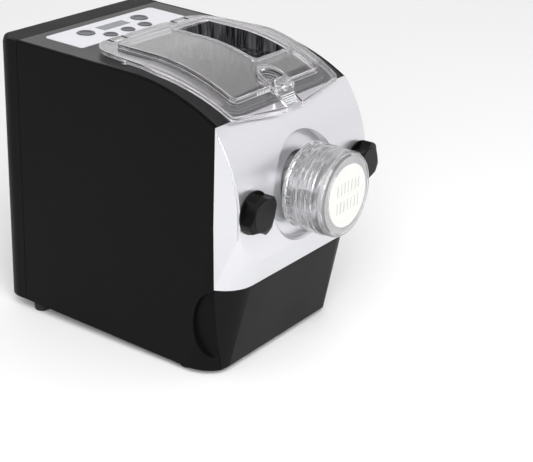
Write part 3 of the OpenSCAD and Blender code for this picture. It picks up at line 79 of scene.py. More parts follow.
class PastaFinishSettings(bpy.types.PropertyGroup):
    """Colours and textures of the outer pieces."""

    panel_colour: FloatVectorProperty(
        name="Panels",
        description="Black of the side panels and the rear cover",
        subtype="COLOR",
        size=3,
        min=0,
        max=1,
        default=linear("#0a0a0b")[:3],
    )
    deck_colour: FloatVectorProperty(
        name="Deck",
        description="Warm black of the deck",
        subtype="COLOR",
        size=3,
        min=0,
        max=1,
        default=linear("#0f0e0e")[:3],
    )
    silver_colour: FloatVectorProperty(
        name="Fascia",
        description="Silver paint of the front fascia",
        subtype="COLOR",
        size=3,
        min=0,
        max=1,
        default=linear("#dcdce0")[:3],
    )
    texture_depth: FloatProperty(
        name="Texture depth",
        description="Depth of the eroded texture on the black mouldings",
        subtype="DISTANCE",
        unit="LENGTH",
        min=0.0,
        max=0.0004,
        default=0.00005,
    )


class PastaScrewSettings(bpy.types.PropertyGroup):
    """Sizes of the extruder screw."""

    pitch: FloatProperty(
        name="Pitch",
        description="Travel of the flight in one turn",
        subtype="DISTANCE",
        unit="LENGTH",
        min=0.012,
        max=0.04,
        default=0.022,
    )
    turns_detail: IntProperty(
        name="Steps per turn",
        description="How many rings the surface has in one turn",
        min=24,
        max=240,
        default=96,
    )


class PastaStudioSettings(bpy.types.PropertyGroup):
    """Lights and floor."""

    key_power: FloatProperty(
        name="Key light",
        description="Power of the large soft light above the nozzle end",
        unit="POWER",
        min=0,
        max=2000,
        default=86,
    )
    fill_power: FloatProperty(
        name="Fill light",
        description="Power of the soft light beside the nozzle",
        unit="POWER",
        min=0,
        max=2000,
        default=24,
    )
    side_power: FloatProperty(
        name="Side light",
        description="Power of the soft light that the silver front mirrors",
        unit="POWER",
        min=0,
        max=2000,
        default=7,
    )
    back_power: FloatProperty(
        name="Back light",
        description="Power of the soft light on the far side, which the lid and the deck mirror",
        unit="POWER",
        min=0,
        max=2000,
        default=7,
    )
    sky: FloatProperty(
        name="Room light",
        description="Strength of the even light from the room",
        min=0,
        max=3,
        default=0.58,
    )
    floor_size: FloatProperty(
        name="Floor",
        description="Side of the square floor",
        subtype="DISTANCE",
        unit="LENGTH",
        min=2,
        max=40,
        default=16,
    )


# ---------------------------------------------------------------- shader helpers


def add(tree, kind, sockets=None, stops=(), **settings):
    """Adds a node with its settings and colour stops, and sets or links each named socket."""
    node = tree.nodes.new(kind)
    for key, value in settings.items():
        setattr(node, key, value)
    for number, colour in enumerate(stops):
        node.color_ramp.elements[number].color = colour
    for key, value in (sockets or {}).items():
        if isinstance(value, bpy.types.NodeSocket):
            tree.links.new(value, node.inputs[key])
        else:
            node.inputs[key].default_value = value
    return node


def start(name):
    """Makes a material and returns it with its node tree and object coordinates."""
    material = bpy.data.materials.new(name)
    material.use_nodes = True
    tree = material.node_tree
    tree.nodes.clear()
    return material, tree, add(tree, "ShaderNodeTexCoord").outputs["Object"]


def across(size_mm):
    """The scale of a pattern whose shapes are about size_mm across."""
    return 1 / (size_mm * MM)


def edges(tree, width_mm):
    """One within width_mm of a sharp edge and zero elsewhere.

    It is the dot product of the rounded and the true normal, which is 1 on a flat and falls at an
    edge: 0.97 counts as flat and 0.86 as the edge itself.
    """
    soft = add(tree, "ShaderNodeBevel", {"Radius": width_mm * MM}, samples=4).outputs["Normal"]
    true = add(tree, "ShaderNodeNewGeometry").outputs["Normal"]
    both = add(tree, "ShaderNodeVectorMath", {0: soft, 1: true}, operation="DOT_PRODUCT")
    fall = {"From Min": 0.86, "From Max": 0.97, "To Min": 1.0, "To Max": 0.0}
    fall["Value"] = both.outputs["Value"]
    return add(tree, "ShaderNodeMapRange", fall).outputs["Result"]


def shades(colour, amount):
    """The colour made darker and lighter by amount."""
    c = np.array(colour[:3])
    dark, light = c * (1 - amount), np.clip(c * (1 + amount), 0, 1)
    return (*dark.tolist(), 1.0), (*light.tolist(), 1.0)


def surface(material, sockets, tone=None, gloss=None, relief=None):
    """Gives a material its shader, from the sockets named and up to three patterns.

    tone is a pattern and the two colours that it goes between. gloss is a pattern and two values of
    roughness, which it goes between over 0.25 to 0.75, where most of a noise lies. relief is a
    pattern and the height in metres by which it raises the surface.
    """
    tree, fed = material.node_tree, dict(sockets)
    if tone:
        pattern, *colours = tone
        ramp = add(tree, "ShaderNodeValToRGB", {"Fac": pattern}, colours)
        fed["Base Color"] = ramp.outputs["Color"]
    if gloss:
        pattern, low, high = gloss
        span = {"From Min": 0.25, "From Max": 0.75, "To Min": low, "To Max": high}
        level = add(tree, "ShaderNodeMapRange", {"Value": pattern, **span})
        fed["Roughness"] = level.outputs["Result"]
    if relief:
        pattern, height = relief
        raised = add(tree, "ShaderNodeBump", {"Height": pattern, "Distance": height})
        fed["Normal"] = raised.outputs["Normal"]
    shader = add(tree, "ShaderNodeBsdfPrincipled", fed)
    add(tree, "ShaderNodeOutputMaterial", {"Surface": shader.outputs["BSDF"]})
    return material


def moulded(name, colour, roughness, texture_mm, depth_m, specular=0.5, mottle=0.06):
    """Moulded plastic: one colour right through, a fine eroded texture, patches of gloss."""
    material, tree, place = start(name)
    sockets = {"Vector": place, "Scale": across(70), "Detail": 3.0}
    patches = add(tree, "ShaderNodeTexNoise", sockets).outputs["Fac"]
    sockets = {"Vector": place, "Scale": across(texture_mm), "Detail": 3.0, "Roughness": 0.6}
    grain = add(tree, "ShaderNodeTexNoise", sockets).outputs["Fac"]
    return surface(
        material,
        {"IOR": 1.5, "Specular IOR Level": specular},
        tone=(patches, *shades(colour, mottle)),
        gloss=(patches, roughness * 0.9, roughness * 1.1),
        relief=(grain, depth_m),
    )


# ---------------------------------------------------------------- materials


def moulded_black_abs(look):
    # ABS from an eroded mould: the fine texture breaks the reflections up into an even dark satin.
    # The real grain is 0.1 mm; 0.9 mm is the finest that shows.
    depth = look.texture_depth
    return moulded("moulded_black_abs", look.panel_colour, 0.45, 0.9, depth, 0.08)


def satin_deck_abs(look):
    # ABS from a finer mould than the panels: smooth enough that the deck mirrors the pale room as a
    # broad warm glow.
    depth = look.texture_depth * 0.4
    return moulded("satin_deck_abs", look.deck_colour, 0.36, 1.4, depth, 0.5, 0.03)


def polished_chute_abs(look):
    # Highly polished black ABS, so dough slides off: long pale streaks of the room, about 5 mm
    # apart, that run down the way the flour does, are painted into its colour as reflections.
    material, tree, place = start("polished_chute_abs")
    drawn = add(tree, "ShaderNodeMapping", {"Vector": place, "Scale": (1, 1, 0.1)})
    sockets = {"Vector": drawn.outputs["Vector"], "Scale": across(5), "Detail": 3.0}
    streaks = add(tree, "ShaderNodeTexNoise", {**sockets, "Roughness": 0.6}).outputs["Fac"]
    # Painted reflection: the streaks turn the colour from near black to pale grey.
    sockets = {"Value": streaks, "From Min": 0.42, "From Max": 0.72}
    painted_reflection = add(tree, "ShaderNodeMapRange", sockets).outputs["Result"]
    return surface(
        material,
        {"IOR": 1.5},
        tone=(painted_reflection, linear("#19191a"), linear("#66666a")),
        gloss=(streaks, 0.08, 0.3),
        relief=(streaks, look.texture_depth * 3),
    )


def polished_charcoal_abs(look):
    # ABS with a smoother polish than the panels, so the upright corners carry a soft sheen.
    depth = look.texture_depth * 0.3
    return moulded("polished_charcoal_abs", linear("#0e0d0f"), 0.42, 1.6, depth, 0.1)


def silver_paint(look):
    # Silver paint under a satin lacquer: flakes lie flat, so it glows broadly and has no hard
    # mirror. The real flakes are 0.03 mm; 0.7 mm clumps are the finest that show. Along the creases
    # and edges a grey line of painted shade is laid into the colour, where shadow lies in them.
    material, tree, place = start("silver_painted_abs")
    sockets = {"Vector": place, "Scale": across(0.7), "Roughness": 0.7}
    flake = add(tree, "ShaderNodeTexNoise", sockets).outputs["Fac"]
    patches = add(tree, "ShaderNodeTexNoise", {"Vector": place, "Scale": across(60)})
    paint = add(tree, "ShaderNodeValToRGB", {"Fac": flake}, shades(look.silver_colour, 0.03))
    # Painted shade: within 0.5 mm of every crease and edge the silver goes to a darker grey, a
    # shadow line along them.
    sockets = {"Factor": edges(tree, 0.5), "A": paint.outputs["Color"], "B": linear("#85858a")}
    crease_painted_shade = add(tree, "ShaderNodeMix", sockets, data_type="RGBA").outputs["Result"]
    lacquer = {"Coat Weight": 0.2, "Coat Roughness": 0.3}
    return surface(
        material,
        {"Base Color": crease_painted_shade, "Metallic": 0.8, "IOR": 1.5, **lacquer},
        gloss=(patches.outputs["Fac"], 0.29, 0.33),
        relief=(flake, 0.000006),
    )


POLYCARBONATE_IOR = 1.58


def clear_polycarbonate(
    name, code, rough, bend=POLYCARBONATE_IOR, coat=0.0, clear=0.97, highlight_mm=0.4
):
    # Moulded polycarbonate: water-clear walls with a painted highlight at every edge and bend, where
    # the walls turn a diffuse white within highlight_mm, as if the edge caught the light. Slow flow
    # waves from the mould, 14 mm long, keep its reflections from being perfectly straight.
    # Thin walls get a lower bend and a coat: what lies behind them stays in place and the gloss
    # stays full.
    material, tree, place = start(name)
    sockets = {"Vector": place, "Scale": across(14), "Detail": 1.0}
    waves = add(tree, "ShaderNodeTexNoise", sockets).outputs["Fac"]
    # Painted highlight: transmission drops from clear to 0.12 near an edge, so the white base colour
    # shows there.
    sockets = {"Value": edges(tree, highlight_mm), "To Min": clear, "To Max": 0.12}
    through = add(tree, "ShaderNodeMapRange", sockets).outputs["Result"]
    gloss_coat = {"Coat Weight": coat, "Coat IOR": POLYCARBONATE_IOR, "Coat Roughness": rough}
    return surface(
        material,
        {"Base Color": linear(code), "IOR": bend, "Transmission Weight": through, **gloss_coat},
        gloss=(waves, rough * 0.8, rough * 1.2),
        relief=(waves, 0.000002),
    )


def rib_highlight_white():
    # The grip ribs: polycarbonate in a mostly opaque white as a painted highlight, for the light
    # that each clear rib catches, so each rib reads as a white line on the clear tab.
    material, tree, place = start("frosted_polycarbonate")
    rib_noise = add(tree, "ShaderNodeTexNoise", {"Vector": place, "Scale": across(3)}).outputs["Fac"]
    # Painted highlight: transmission stays low, 0.15 to 0.35, so the white base colour shows on each
    # rib.
    white_span = {"From Min": 0.25, "From Max": 0.75, "To Min": 0.35, "To Max": 0.15}
    through = add(tree, "ShaderNodeMapRange", {"Value": rib_noise, **white_span}).outputs["Result"]
    return surface(
        material,
        {"Base Color": linear("#f4f4f6"), "IOR": 1.4, "Transmission Weight": through},
        gloss=(rib_noise, 0.2, 0.45),
    )


def white_acetal():
    # Machined and moulded acetal: an even milky white with a waxy gloss and light under the skin.
    material, tree, place = start("white_acetal")
    broad = add(tree, "ShaderNodeTexNoise", {"Vector": place, "Scale": across(25)}).outputs["Fac"]
    skin = add(tree, "ShaderNodeTexNoise", {"Vector": place, "Scale": across(1.2)}).outputs["Fac"]
    glow = {"Subsurface Weight": 0.15, "Subsurface Scale": 0.4}
    glow["Subsurface Radius"] = (0.004, 0.004, 0.0035)
    return surface(
        material,
        {"IOR": 1.48, **glow},
        tone=(broad, *shades(linear("#d6d6d3"), 0.02)),
        gloss=(broad, 0.28, 0.36),
        relief=(skin, 0.00001),
    )


def knob_nylon():
    # Glass-filled nylon: deep black, satin, with a faint orange-peel skin about 1.5 mm apart.
    return moulded("black_filled_nylon", linear("#090909"), 0.3, 1.5, 0.00004, 0.15)


def button_paint():
    # Metallic grey paint over plastic with a light satin gloss.
    material, tree, place = start("metallic_grey_paint")
    sockets = {"Vector": place, "Scale": across(0.6), "Roughness": 0.7}
    flake = add(tree, "ShaderNodeTexNoise", sockets).outputs["Fac"]
    patches = add(tree, "ShaderNodeTexNoise", {"Vector": place, "Scale": across(8)})
    return surface(
        material,
        {"Metallic": 0.6, "IOR": 1.5, "Coat Weight": 0.1, "Coat Roughness": 0.15},
        tone=(flake, *shades(linear("#63646a"), 0.06)),
        gloss=(patches.outputs["Fac"], 0.3, 0.36),
        relief=(flake, 0.000005),
    )


def plate_film():
    # Silver printed polyester film: flat, pale and a little duller than paint.
    return moulded("silver_polyester_film", linear("#dcdce1"), 0.38, 0.8, 0.000008, 0.4, 0.01)


def display_acrylic():
    # Tinted acrylic over an unlit display: mid grey, glossy, with a slow shade change behind it.
    material, tree, place = start("tinted_acrylic")
    sockets = {"Vector": place, "Scale": across(30), "Detail": 1.0}
    slow = add(tree, "ShaderNodeTexNoise", sockets).outputs["Fac"]
    fine = add(tree, "ShaderNodeTexNoise", {"Vector": place, "Scale": across(3)}).outputs["Fac"]
    return surface(
        material,
        {"IOR": 1.49},
        tone=(slow, linear("#686a6e"), linear("#86888c")),
        gloss=(fine, 0.12, 0.2),
    )


def zinc_steel():
    # Zinc plated sheet and turned steel: cool pale metal with patchy crystal bloom 5 mm across.
    material, tree, place = start("zinc_plated_steel")
    cells = add(tree, "ShaderNodeTexVoronoi", {"Vector": place, "Scale": across(5)})
    sockets = {"Value": cells.outputs["Distance"], "From Max": 0.9}
    bloom = add(tree, "ShaderNodeMapRange", sockets).outputs["Result"]
    patches = add(tree, "ShaderNodeTexNoise", {"Vector": place, "Scale": across(2.5)})
    return surface(
        material,
        {"Metallic": 1.0},
        tone=(bloom, linear("#a4a8ac"), linear("#c6c9cb")),
        gloss=(patches.outputs["Fac"], 0.28, 0.42),
        relief=(bloom, 0.000008),
    )


def ground_steel():
    # Ground shafts and pins: bright metal with fine rings from the wheel, drawn 0.5 mm apart. The
    # wave texture lays 20 bands in one unit of its scale.
    material, tree, place = start("ground_steel")
    sockets = {"Vector": place, "Scale": across(0.5) / 20, "Distortion": 1.5, "Detail": 2.0}
    rings = add(tree, "ShaderNodeTexWave", sockets, bands_direction="Y").outputs["Fac"]
    return surface(
        material,
        {"Metallic": 1.0},
        tone=(rings, linear("#b4b6ba"), linear("#d3d5d8")),
        gloss=(rings, 0.2, 0.32),
        relief=(rings, 0.000004),
    )


def turned_brass():
    # Turned brass: warm yellow, tool marks 0.6 mm apart, slightly browner in the hollows.
    material, tree, place = start("turned_brass")
    sockets = {"Vector": place, "Scale": across(0.6), "Detail": 3.0}
    marks = add(tree, "ShaderNodeTexNoise", sockets).outputs["Fac"]
    return surface(
        material,
        {"Metallic": 1.0},
        tone=(marks, linear("#a17f3c"), linear("#d0ae62")),
        gloss=(marks, 0.25, 0.38),
        relief=(marks, 0.000006),
    )


def black_rubber():
    # Moulded rubber: matt, charcoal rather than black, with a dusty 1.2 mm speckle.
    return moulded("moulded_rubber", linear("#1b1b1c"), 0.75, 1.2, 0.00005, 0.3, 0.15)


def circuit_board():
    # Glass-epoxy board with green solder mask: copper tracks 1.3 mm apart show as lighter lines.
    material, tree, place = start("solder_masked_board")
    sockets = {
        "Vector": place,
        "Color1": linear("#2b7a4b"),
        "Color2": linear("#246b41"),
        "Mortar": linear("#174a2c"),
        "Scale": across(13),
        "Mortar Size": 0.06,
        "Brick Width": 1.0,
        "Row Height": 0.1,
    }
    tracks = add(tree, "ShaderNodeTexBrick", sockets)
    patches = add(tree, "ShaderNodeTexNoise", {"Vector": place, "Scale": across(4)})
    return surface(
        material,
        {"Base Color": tracks.outputs["Color"]},
        gloss=(patches.outputs["Fac"], 0.25, 0.35),
        relief=(tracks.outputs["Fac"], -0.00004),
    )


def drawn_steel():
    # Drawn and tumbled steel of the motor can: soft grey streaks round it, 1 mm apart.
    material, tree, place = start("drawn_steel")
    squeezed = add(tree, "ShaderNodeMapping", {"Vector": place, "Scale": (1, 14, 1)})
    sockets = {"Vector": squeezed.outputs["Vector"], "Scale": across(14), "Detail": 4.0}
    streaks = add(tree, "ShaderNodeTexNoise", sockets).outputs["Fac"]
    return surface(
        material,
        {"Metallic": 1.0},
        tone=(streaks, linear("#8d9094"), linear("#b9bbbe")),
        gloss=(streaks, 0.3, 0.45),
        relief=(streaks, 0.00001),
    )


def matt_white_paper():
    # Studio background paper: matt, with cloudy shade changes 0.6 m across that hardly show.
    material, tree, place = start("matt_white_paper")
    clouds = add(tree, "ShaderNodeTexNoise", {"Vector": place, "Scale": across(600)})
    return surface(
        material,
        {"Roughness": 0.9, "Specular IOR Level": 0.1},
        tone=(clouds.outputs["Fac"], linear("#f6f6f6"), linear("#fafafa")),
    )


def finish_nodes(names, material):
    """Puts one material on every slot of the named pieces of the frame."""
    for name in names:
        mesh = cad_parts[name].data
        mesh.materials.clear()
        mesh.materials.append(material)
        mesh.polygons.foreach_set("material_index", np.zeros(len(mesh.polygons), np.int32))


# ---------------------------------------------------------------- mesh helpers


def grid_faces(rows, cols, wrap_cols=False, flip=False, start=0):
    """Quads over a grid of rows x cols points, the first of which is the mesh's point start.

    Wrapping joins the grid's last column to its first.
    """
    steps = cols if wrap_cols else cols - 1
    row, col = np.meshgrid(np.arange(rows - 1), np.arange(steps), indexing="ij")
    here, below, after = start + row * cols, start + (row + 1) * cols, (col + 1) % cols
    quads = np.stack([here + col, here + after, below + after, below + col], -1).reshape(-1, 4)
    return (quads[:, ::-1] if flip else quads).tolist()


def fan(hub, first, count, flip=False):
    """Triangles from the point hub to the closed ring of count points that begins at first."""
    ring = np.arange(count)
    sides = [first + ring, first + (ring + 1) % count]
    return np.stack([np.full(count, hub), *(sides[::-1] if flip else sides)], 1).tolist()


def seam_mm(corners):
    """Corners in metres turned to mm in the seam frame."""
    return [np.array(corner) / MM - SEAM for corner in corners]


def make_piece(name, points_mm, faces, material, smooth_angle=35):
    """A mesh piece from points in mm in the seam frame, whose shading stays crisp past an angle."""
    mesh = bpy.data.meshes.new(name)
    points = (np.asarray(points_mm, float) + SEAM) * MM
    mesh.from_pydata(points.tolist(), [], faces)
    mesh.materials.append(material)
    mesh.polygons.foreach_set("use_smooth", np.ones(len(mesh.polygons), bool))
    mesh.set_sharp_from_angle(angle=math.radians(smooth_angle))
    mesh.update()
    piece = bpy.data.objects.new(name, mesh)
    bpy.context.scene.collection.objects.link(piece)
    return piece


def tube(path, radius, sides, start=0):
    """A closed round tube along a path: at each point a circle in the plane square to the path.

    The circle's first direction is carried along by projecting the last one onto the next plane, so
    the tube doesn't twist. Both ends are closed by a ring drawn in to the path's own end point.
    The tube's first point is the mesh's point start.
    """
    path = np.asarray(path, float)
    along = np.gradient(path, axis=0)
    along /= np.linalg.norm(along, axis=1, keepdims=True)
    slanted = [0.3, 0.5, 0.81]  # a direction in which no tube here sets off
    first = np.cross(along[0], slanted)
    normals = [first / np.linalg.norm(first)]
    for direction in along[1:]:
        carried = normals[-1] - direction * np.dot(normals[-1], direction)
        normals.append(carried / np.linalg.norm(carried))
    normals = np.array(normals)
    second = np.cross(along, normals)
    angle = np.linspace(0, 2 * np.pi, sides, endpoint=False)
    cos, sin = np.cos(angle)[None, :, None], np.sin(angle)[None, :, None]
    ring = normals[:, None] * cos + second[:, None] * sin
    body = path[:, None] + ring * radius
    points = np.concatenate([body.reshape(-1, 3), path[[0, -1]]])
    hub = start + len(path) * sides
    caps = fan(hub, start, sides, flip=True) + fan(hub + 1, hub - sides, sides)
    return points, grid_faces(len(path), sides, wrap_cols=True, start=start) + caps


def bars(paths, radius, sides):
    """Closed tubes along several paths, as the points and faces of one mesh."""
    points, faces, count = [], [], 0
    for path in paths:
        more, skin = tube(path, radius, sides, start=count)
        points.append(more)
        faces += skin
        count += len(more)
    return np.concatenate(points), faces


# ---------------------------------------------------------------- operators


class PASTA_OT_dress_housing(bpy.types.Operator):
    """Gives the housing's outer mouldings their plastics, paint and rubber"""

    bl_idname = "pasta.dress_housing"
    bl_label = "Dress the housing"

    def execute(self, context):
        look = context.scene.pasta_finish
        panels = ["side_panel_left", "side_panel_right", "rear_cover", "base_plate"]
        finish_nodes(panels, moulded_black_abs(look))
        finish_nodes(["top_cover"], satin_deck_abs(look))
        finish_nodes(["feed_chute"], polished_chute_abs(look))
        finish_nodes(["drawer_front", "drawer_tray"], polished_charcoal_abs(look))
        finish_nodes(["front_fascia"], silver_paint(look))
        finish_nodes(["feet", "barrel_seal", "shaft_seal"], black_rubber())
        finish_nodes(["knob_left", "knob_right", "power_inlet", "motor_fan"], knob_nylon())
        return {"FINISHED"}


class PASTA_OT_dress_controls(bpy.types.Operator):
    """Gives the control plate, display and buttons their film, acrylic and paint"""

    bl_idname = "pasta.dress_controls"
    bl_label = "Dress the controls"

    def execute(self, context):
        finish_nodes(["control_plate"], plate_film())
        finish_nodes(["display_window"], display_acrylic())
        buttons = [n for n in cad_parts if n.startswith(("large_button", "small_button"))]
        finish_nodes(buttons, button_paint())
        finish_nodes(["control_board", "power_board"], circuit_board())
        return {"FINISHED"}


class PASTA_OT_dress_clear_parts(bpy.types.Operator):
    """Gives the lid, latch, chamber, barrel and ring nut their clear plastics"""

    bl_idname = "pasta.dress_clear_parts"
    bl_label = "Dress the clear parts"

    def execute(self, context):
        name = "thin_clear_polycarbonate"
        thin = clear_polycarbonate(name, "#f7f5f8", 0.012, bend=1.32, coat=0.7, highlight_mm=0.9)
        thick = clear_polycarbonate("clear_polycarbonate", "#f6f6f8", 0.008, clear=0.93)
        smoky = clear_polycarbonate("smoky_polycarbonate", "#dcdcde", 0.06, clear=1.0)
        finish_nodes(["lid", "lid_hinge_pins"], thin)
        finish_nodes(["lid_latch", "die_nut", "extrusion_barrel"], thick)
        finish_nodes(["mixing_chamber"], smoky)
        return {"FINISHED"}


class PASTA_OT_dress_drive(bpy.types.Operator):
    """Gives the shafts, gears, motor, plates and screws their metals and plastics"""

    bl_idname = "pasta.dress_drive"
    bl_label = "Dress the drive"

    def execute(self, context):
        look = context.scene.pasta_finish
        white = white_acetal()
        finish_nodes(["output_gear", "intermediate_gear", "mixing_paddle", "extruder_screw"], white)
        finish_nodes(["shaping_die", "spare_dies", "reed_switch"], white)
        sheet = ["chassis_frame", "front_frame", "rear_bulkhead", "drawer_rails"]
        finish_nodes([*sheet, "case_screws", "inlet_pins"], zinc_steel())
        turned = ["drive_shaft", "intermediate_axle", "motor_rotor", "fascia_studs"]
        finish_nodes([*turned, "latch_pin", "latch_spring", "lid_magnet"], ground_steel())
        inserts = ["knob_insert_left", "knob_insert_right"]
        finish_nodes(["shaft_bushes", "motor_pinion", *inserts], turned_brass())
        finish_nodes(["motor_can"], drawn_steel())
        finish_nodes(["gearbox_housing", "gearbox_cover"], polished_charcoal_abs(look))
        return {"FINISHED"}


class PASTA_OT_latch_spring(bpy.types.Operator):
    """Winds the latch's torsion spring as one wire"""

    bl_idname = "pasta.latch_spring"
    bl_label = "Wind the latch spring"

    def execute(self, context):
        """A helix: the wire runs evenly along X, with the turn's cosine in Y and its sine in Z."""
        low, high = seam_mm(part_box("latch_spring"))
        wire_radius, room, turns, steps = 0.36, 0.4, 4.6, 220
        radius = (high[1] - low[1]) / 2 - room
        half = (high[0] - low[0]) / 2 - room
        turn = np.linspace(0, turns * 2 * np.pi, steps)
        along = -half + 2 * half * turn / turn[-1]
        coil = np.stack([along, radius * np.cos(turn), radius * np.sin(turn)], 1)
        points, faces = tube(coil + (low + high) / 2, wire_radius, sides=10)
        spring = make_piece("torsion_spring", points, faces, bpy.data.materials["ground_steel"])
        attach(spring, "lid")
        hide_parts("latch_spring")
        return {"FINISHED"}


def steady_rise(value):
    """Zero up to 0, one from 1 on, and an S curve between: 3 v squared minus 2 v cubed."""
    v = np.clip(value, 0, 1)
    return v * v * (3 - 2 * v)


class PASTA_OT_extruder_screw(bpy.types.Operator):
    """Turns the extruder screw as one smooth surface with its neck and square tail"""

    bl_idname = "pasta.extruder_screw"
    bl_label = "Turn the extruder screw"

    def execute(self, context):
        """Lofts rings along Y: a radius set by the angle from the flight, then a square tail.

        Round the core the radius is the core's, plus the flight's height times an S curve of the
        angle from the flight's middle: full within 9 degrees and gone at 24. The middle turns by a
        full turn in each pitch. The flight rises over 9 mm that begin 1.5 mm before its tip, so its
        end is low and not a step.
        """
        sizes = context.scene.pasta_screw
        low, high = seam_mm(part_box("extruder_screw"))
        core, neck, neck_length, tail_half, tail_length = 9.0, 7.0, 2.0, 5.0, 16.0
        rise, early, full_within, fade = 9.0, 1.5, 9, 15
        shoulder_rim, hair, tail_bevel, tail_shrink = 0.4, 0.01, 0.8, 0.86
        outer, shoulder, pitch = (high[0] - low[0]) / 2, high[1] - tail_length, sizes.pitch / MM
        # Degrees from the flight's middle: close together on its flanks, then even round the core.
        near = np.array([0, 4, 8, 9.5, 11, 13, 15, 17, 19, 21, 24, 28, 33, 38, 42, 45, 48, 52])
        far = np.linspace(60, 180, 17)[:-1]
        half = np.concatenate([near, far])
        angle = np.radians(np.concatenate([half, [180], -half[:0:-1]]))
        off = np.abs(np.degrees(angle))
        steps = int((shoulder - low[1]) / pitch * sizes.turns_detail)
        along = np.linspace(low[1], shoulder, steps)
        height = (outer - core) * steady_rise((along - low[1] + early) / rise)
        shape = 1 - steady_rise((off - full_within) / fade)
        radius = core + height[:, None] * shape[None, :]
        turn = angle[None, :] - 2 * np.pi * (shoulder - along[:, None]) / pitch
        rings = [self.ring(turn, radius, along[:, None])]
        square = tail_half / np.maximum(np.abs(np.cos(angle)), np.abs(np.sin(angle)))
        tail_start, tail_end = shoulder + neck_length, high[1]
        for size, y in (
            (core - shoulder_rim, shoulder),
            (neck, shoulder + hair),
            (neck, tail_start),
            (square, tail_start),
            (square, tail_end - tail_bevel),
            (square * tail_shrink, tail_end),
        ):
            rings.append(self.ring(angle, size + 0 * angle, y)[None])
        body = np.concatenate(rings).reshape(-1, 3)
        sides, hub = len(angle), len(body)
        points = np.concatenate([body, [[0, low[1], 0], [0, tail_end, 0]]]) + [0, 0, AXIS_Z]
        caps = fan(hub, 0, sides) + fan(hub + 1, hub - sides, sides, flip=True)
        faces = grid_faces(hub // sides, sides, wrap_cols=True, flip=True) + caps
        acetal = bpy.data.materials["white_acetal"]
        screw = make_piece("acetal_screw", points, faces, acetal, smooth_angle=40)
        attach(screw, "drive")
        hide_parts("extruder_screw")
        return {"FINISHED"}

    @staticmethod
    def ring(angle, radius, y):
        """Points round the Y axis at y: the radius times the cosine in X and the sine in Z."""
        return np.stack([radius * np.cos(angle), y + 0 * angle, radius * np.sin(angle)], -1)


class PASTA_OT_latch_grip(bpy.types.Operator):
    """Lays the latch's grip ribs along the front of its tab"""

    bl_idname = "pasta.latch_grip"
    bl_label = "Lay the grip ribs"

    def execute(self, context):
        """Five bars up the slope of the tab, each bowed out by a half cosine of its length."""
        low, high = seam_mm(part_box("lid_latch"))
        inset, above, margin = 0.55, 2.6, 1.6
        radius, pitch, count, bowed = 0.5, 1.9, 5, 0.25
        lowest = np.array([0, low[1] + inset, low[2] + above])
        up = np.array([0, 0.5, 0.866])
        half = high[0] - margin
        x = np.linspace(-half, half, 25)
        bow = bowed * np.cos(np.pi * x / (2 * half))
        paths = []
        for number in range(count):
            middle = lowest + up * pitch * number
            paths.append(np.stack([x, middle[1] - bow * up[2], middle[2] + bow * up[1]], 1))
        points, faces = bars(paths, radius, sides=10)
        grip = make_piece("latch_grip_ribs", points, faces, rib_highlight_white(), smooth_angle=40)
        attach(grip, "latch")
        return {"FINISHED"}


class PASTA_OT_lid_marks(bpy.types.Operator):
    """Moulds the row of small ribs on the front of the lid's window"""

    bl_idname = "pasta.lid_marks"
    bl_label = "Mould the lid's small marks"

    def execute(self, context):
        """Upright straight bars in a row, at even steps of X."""
        front_y, top_z, first_x = 5.9, 242.2, -32.5
        length, radius, pitch, count = 3.0, 0.35, 2.3, 8
        z = np.linspace(top_z - length, top_z, 9)
        upright = np.stack([0 * z, front_y + 0 * z, z], 1)
        paths = [upright + [first_x + pitch * number, 0, 0] for number in range(count)]
        points, faces = bars(paths, radius, sides=8)
        # The ribs take the latch ribs' white, a painted highlight for the light they catch.
        milky = bpy.data.materials["frosted_polycarbonate"]
        marks = make_piece("lid_front_ribs", points, faces, milky, smooth_angle=40)
        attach(marks, "lid")
        return {"FINISHED"}


# Each soft light's name, place and aim in metres, side in metres, and the setting of its power.
LIGHTS = (
    ("key_softbox", (-1.6, -1.6, 2.0), (0, 0, 0.1), 2.2, "key_power"),
    ("fill_softbox", (-2.2, -1.4, 0.7), (0, -0.05, 0.15), 1.5, "fill_power"),
    ("side_softbox", (2.0, -1.6, 0.8), (0, -0.05, 0.15), 1.8, "side_power"),
    ("back_softbox", (1.7, 1.2, 1.1), (0, 0, 0.2), 2.0, "back_power"),
)


class PASTA_OT_stage(bpy.types.Operator):
    """Lays the floor, hangs the lights and places the camera"""

    bl_idname = "pasta.stage"
    bl_label = "Set the stage"

    def execute(self, context):
        studio = context.scene.pasta_studio
        lay_floor(studio.floor_size)
        for name, place, aim, side, power in LIGHTS:
            hang_light(name, place, aim, side, getattr(studio, power))
        room = bpy.data.worlds.new("studio_room")
        room.use_nodes = True
        light_room(room.node_tree, studio.sky)
        context.scene.world = room
        context.scene.view_settings.view_transform = "Standard"
        place_camera(context.scene)
        return {"FINISHED"}


def light_room(tree, strength):
    """White light that is full overhead and falls to a third at the horizon, as in a tent."""
    place = add(tree, "ShaderNodeTexCoord").outputs["Generated"]
    height = add(tree, "ShaderNodeSeparateXYZ", {"Vector": place}).outputs["Z"]
    sockets = {"Value": height, "From Max": 0.8, "To Min": strength * 0.33, "To Max": strength}
    level = add(tree, "ShaderNodeMapRange", sockets).outputs["Result"]
    background = tree.nodes["Background"]
    background.inputs["Color"].default_value = (1, 1, 1, 1)
    tree.links.new(level, background.inputs["Strength"])


def lay_floor(side):
    """A flat square under the feet: a grid of 5 x 5 points at height zero."""
    steps = np.linspace(-side / 2, side / 2, 5)
    x, y = np.meshgrid(steps, steps, indexing="ij")
    points = np.stack([x, y, np.zeros_like(x)], -1).reshape(-1, 3) / MM - SEAM
    material = matt_white_paper()
    make_piece("studio_floor", points, grid_faces(5, 5, flip=True), material)


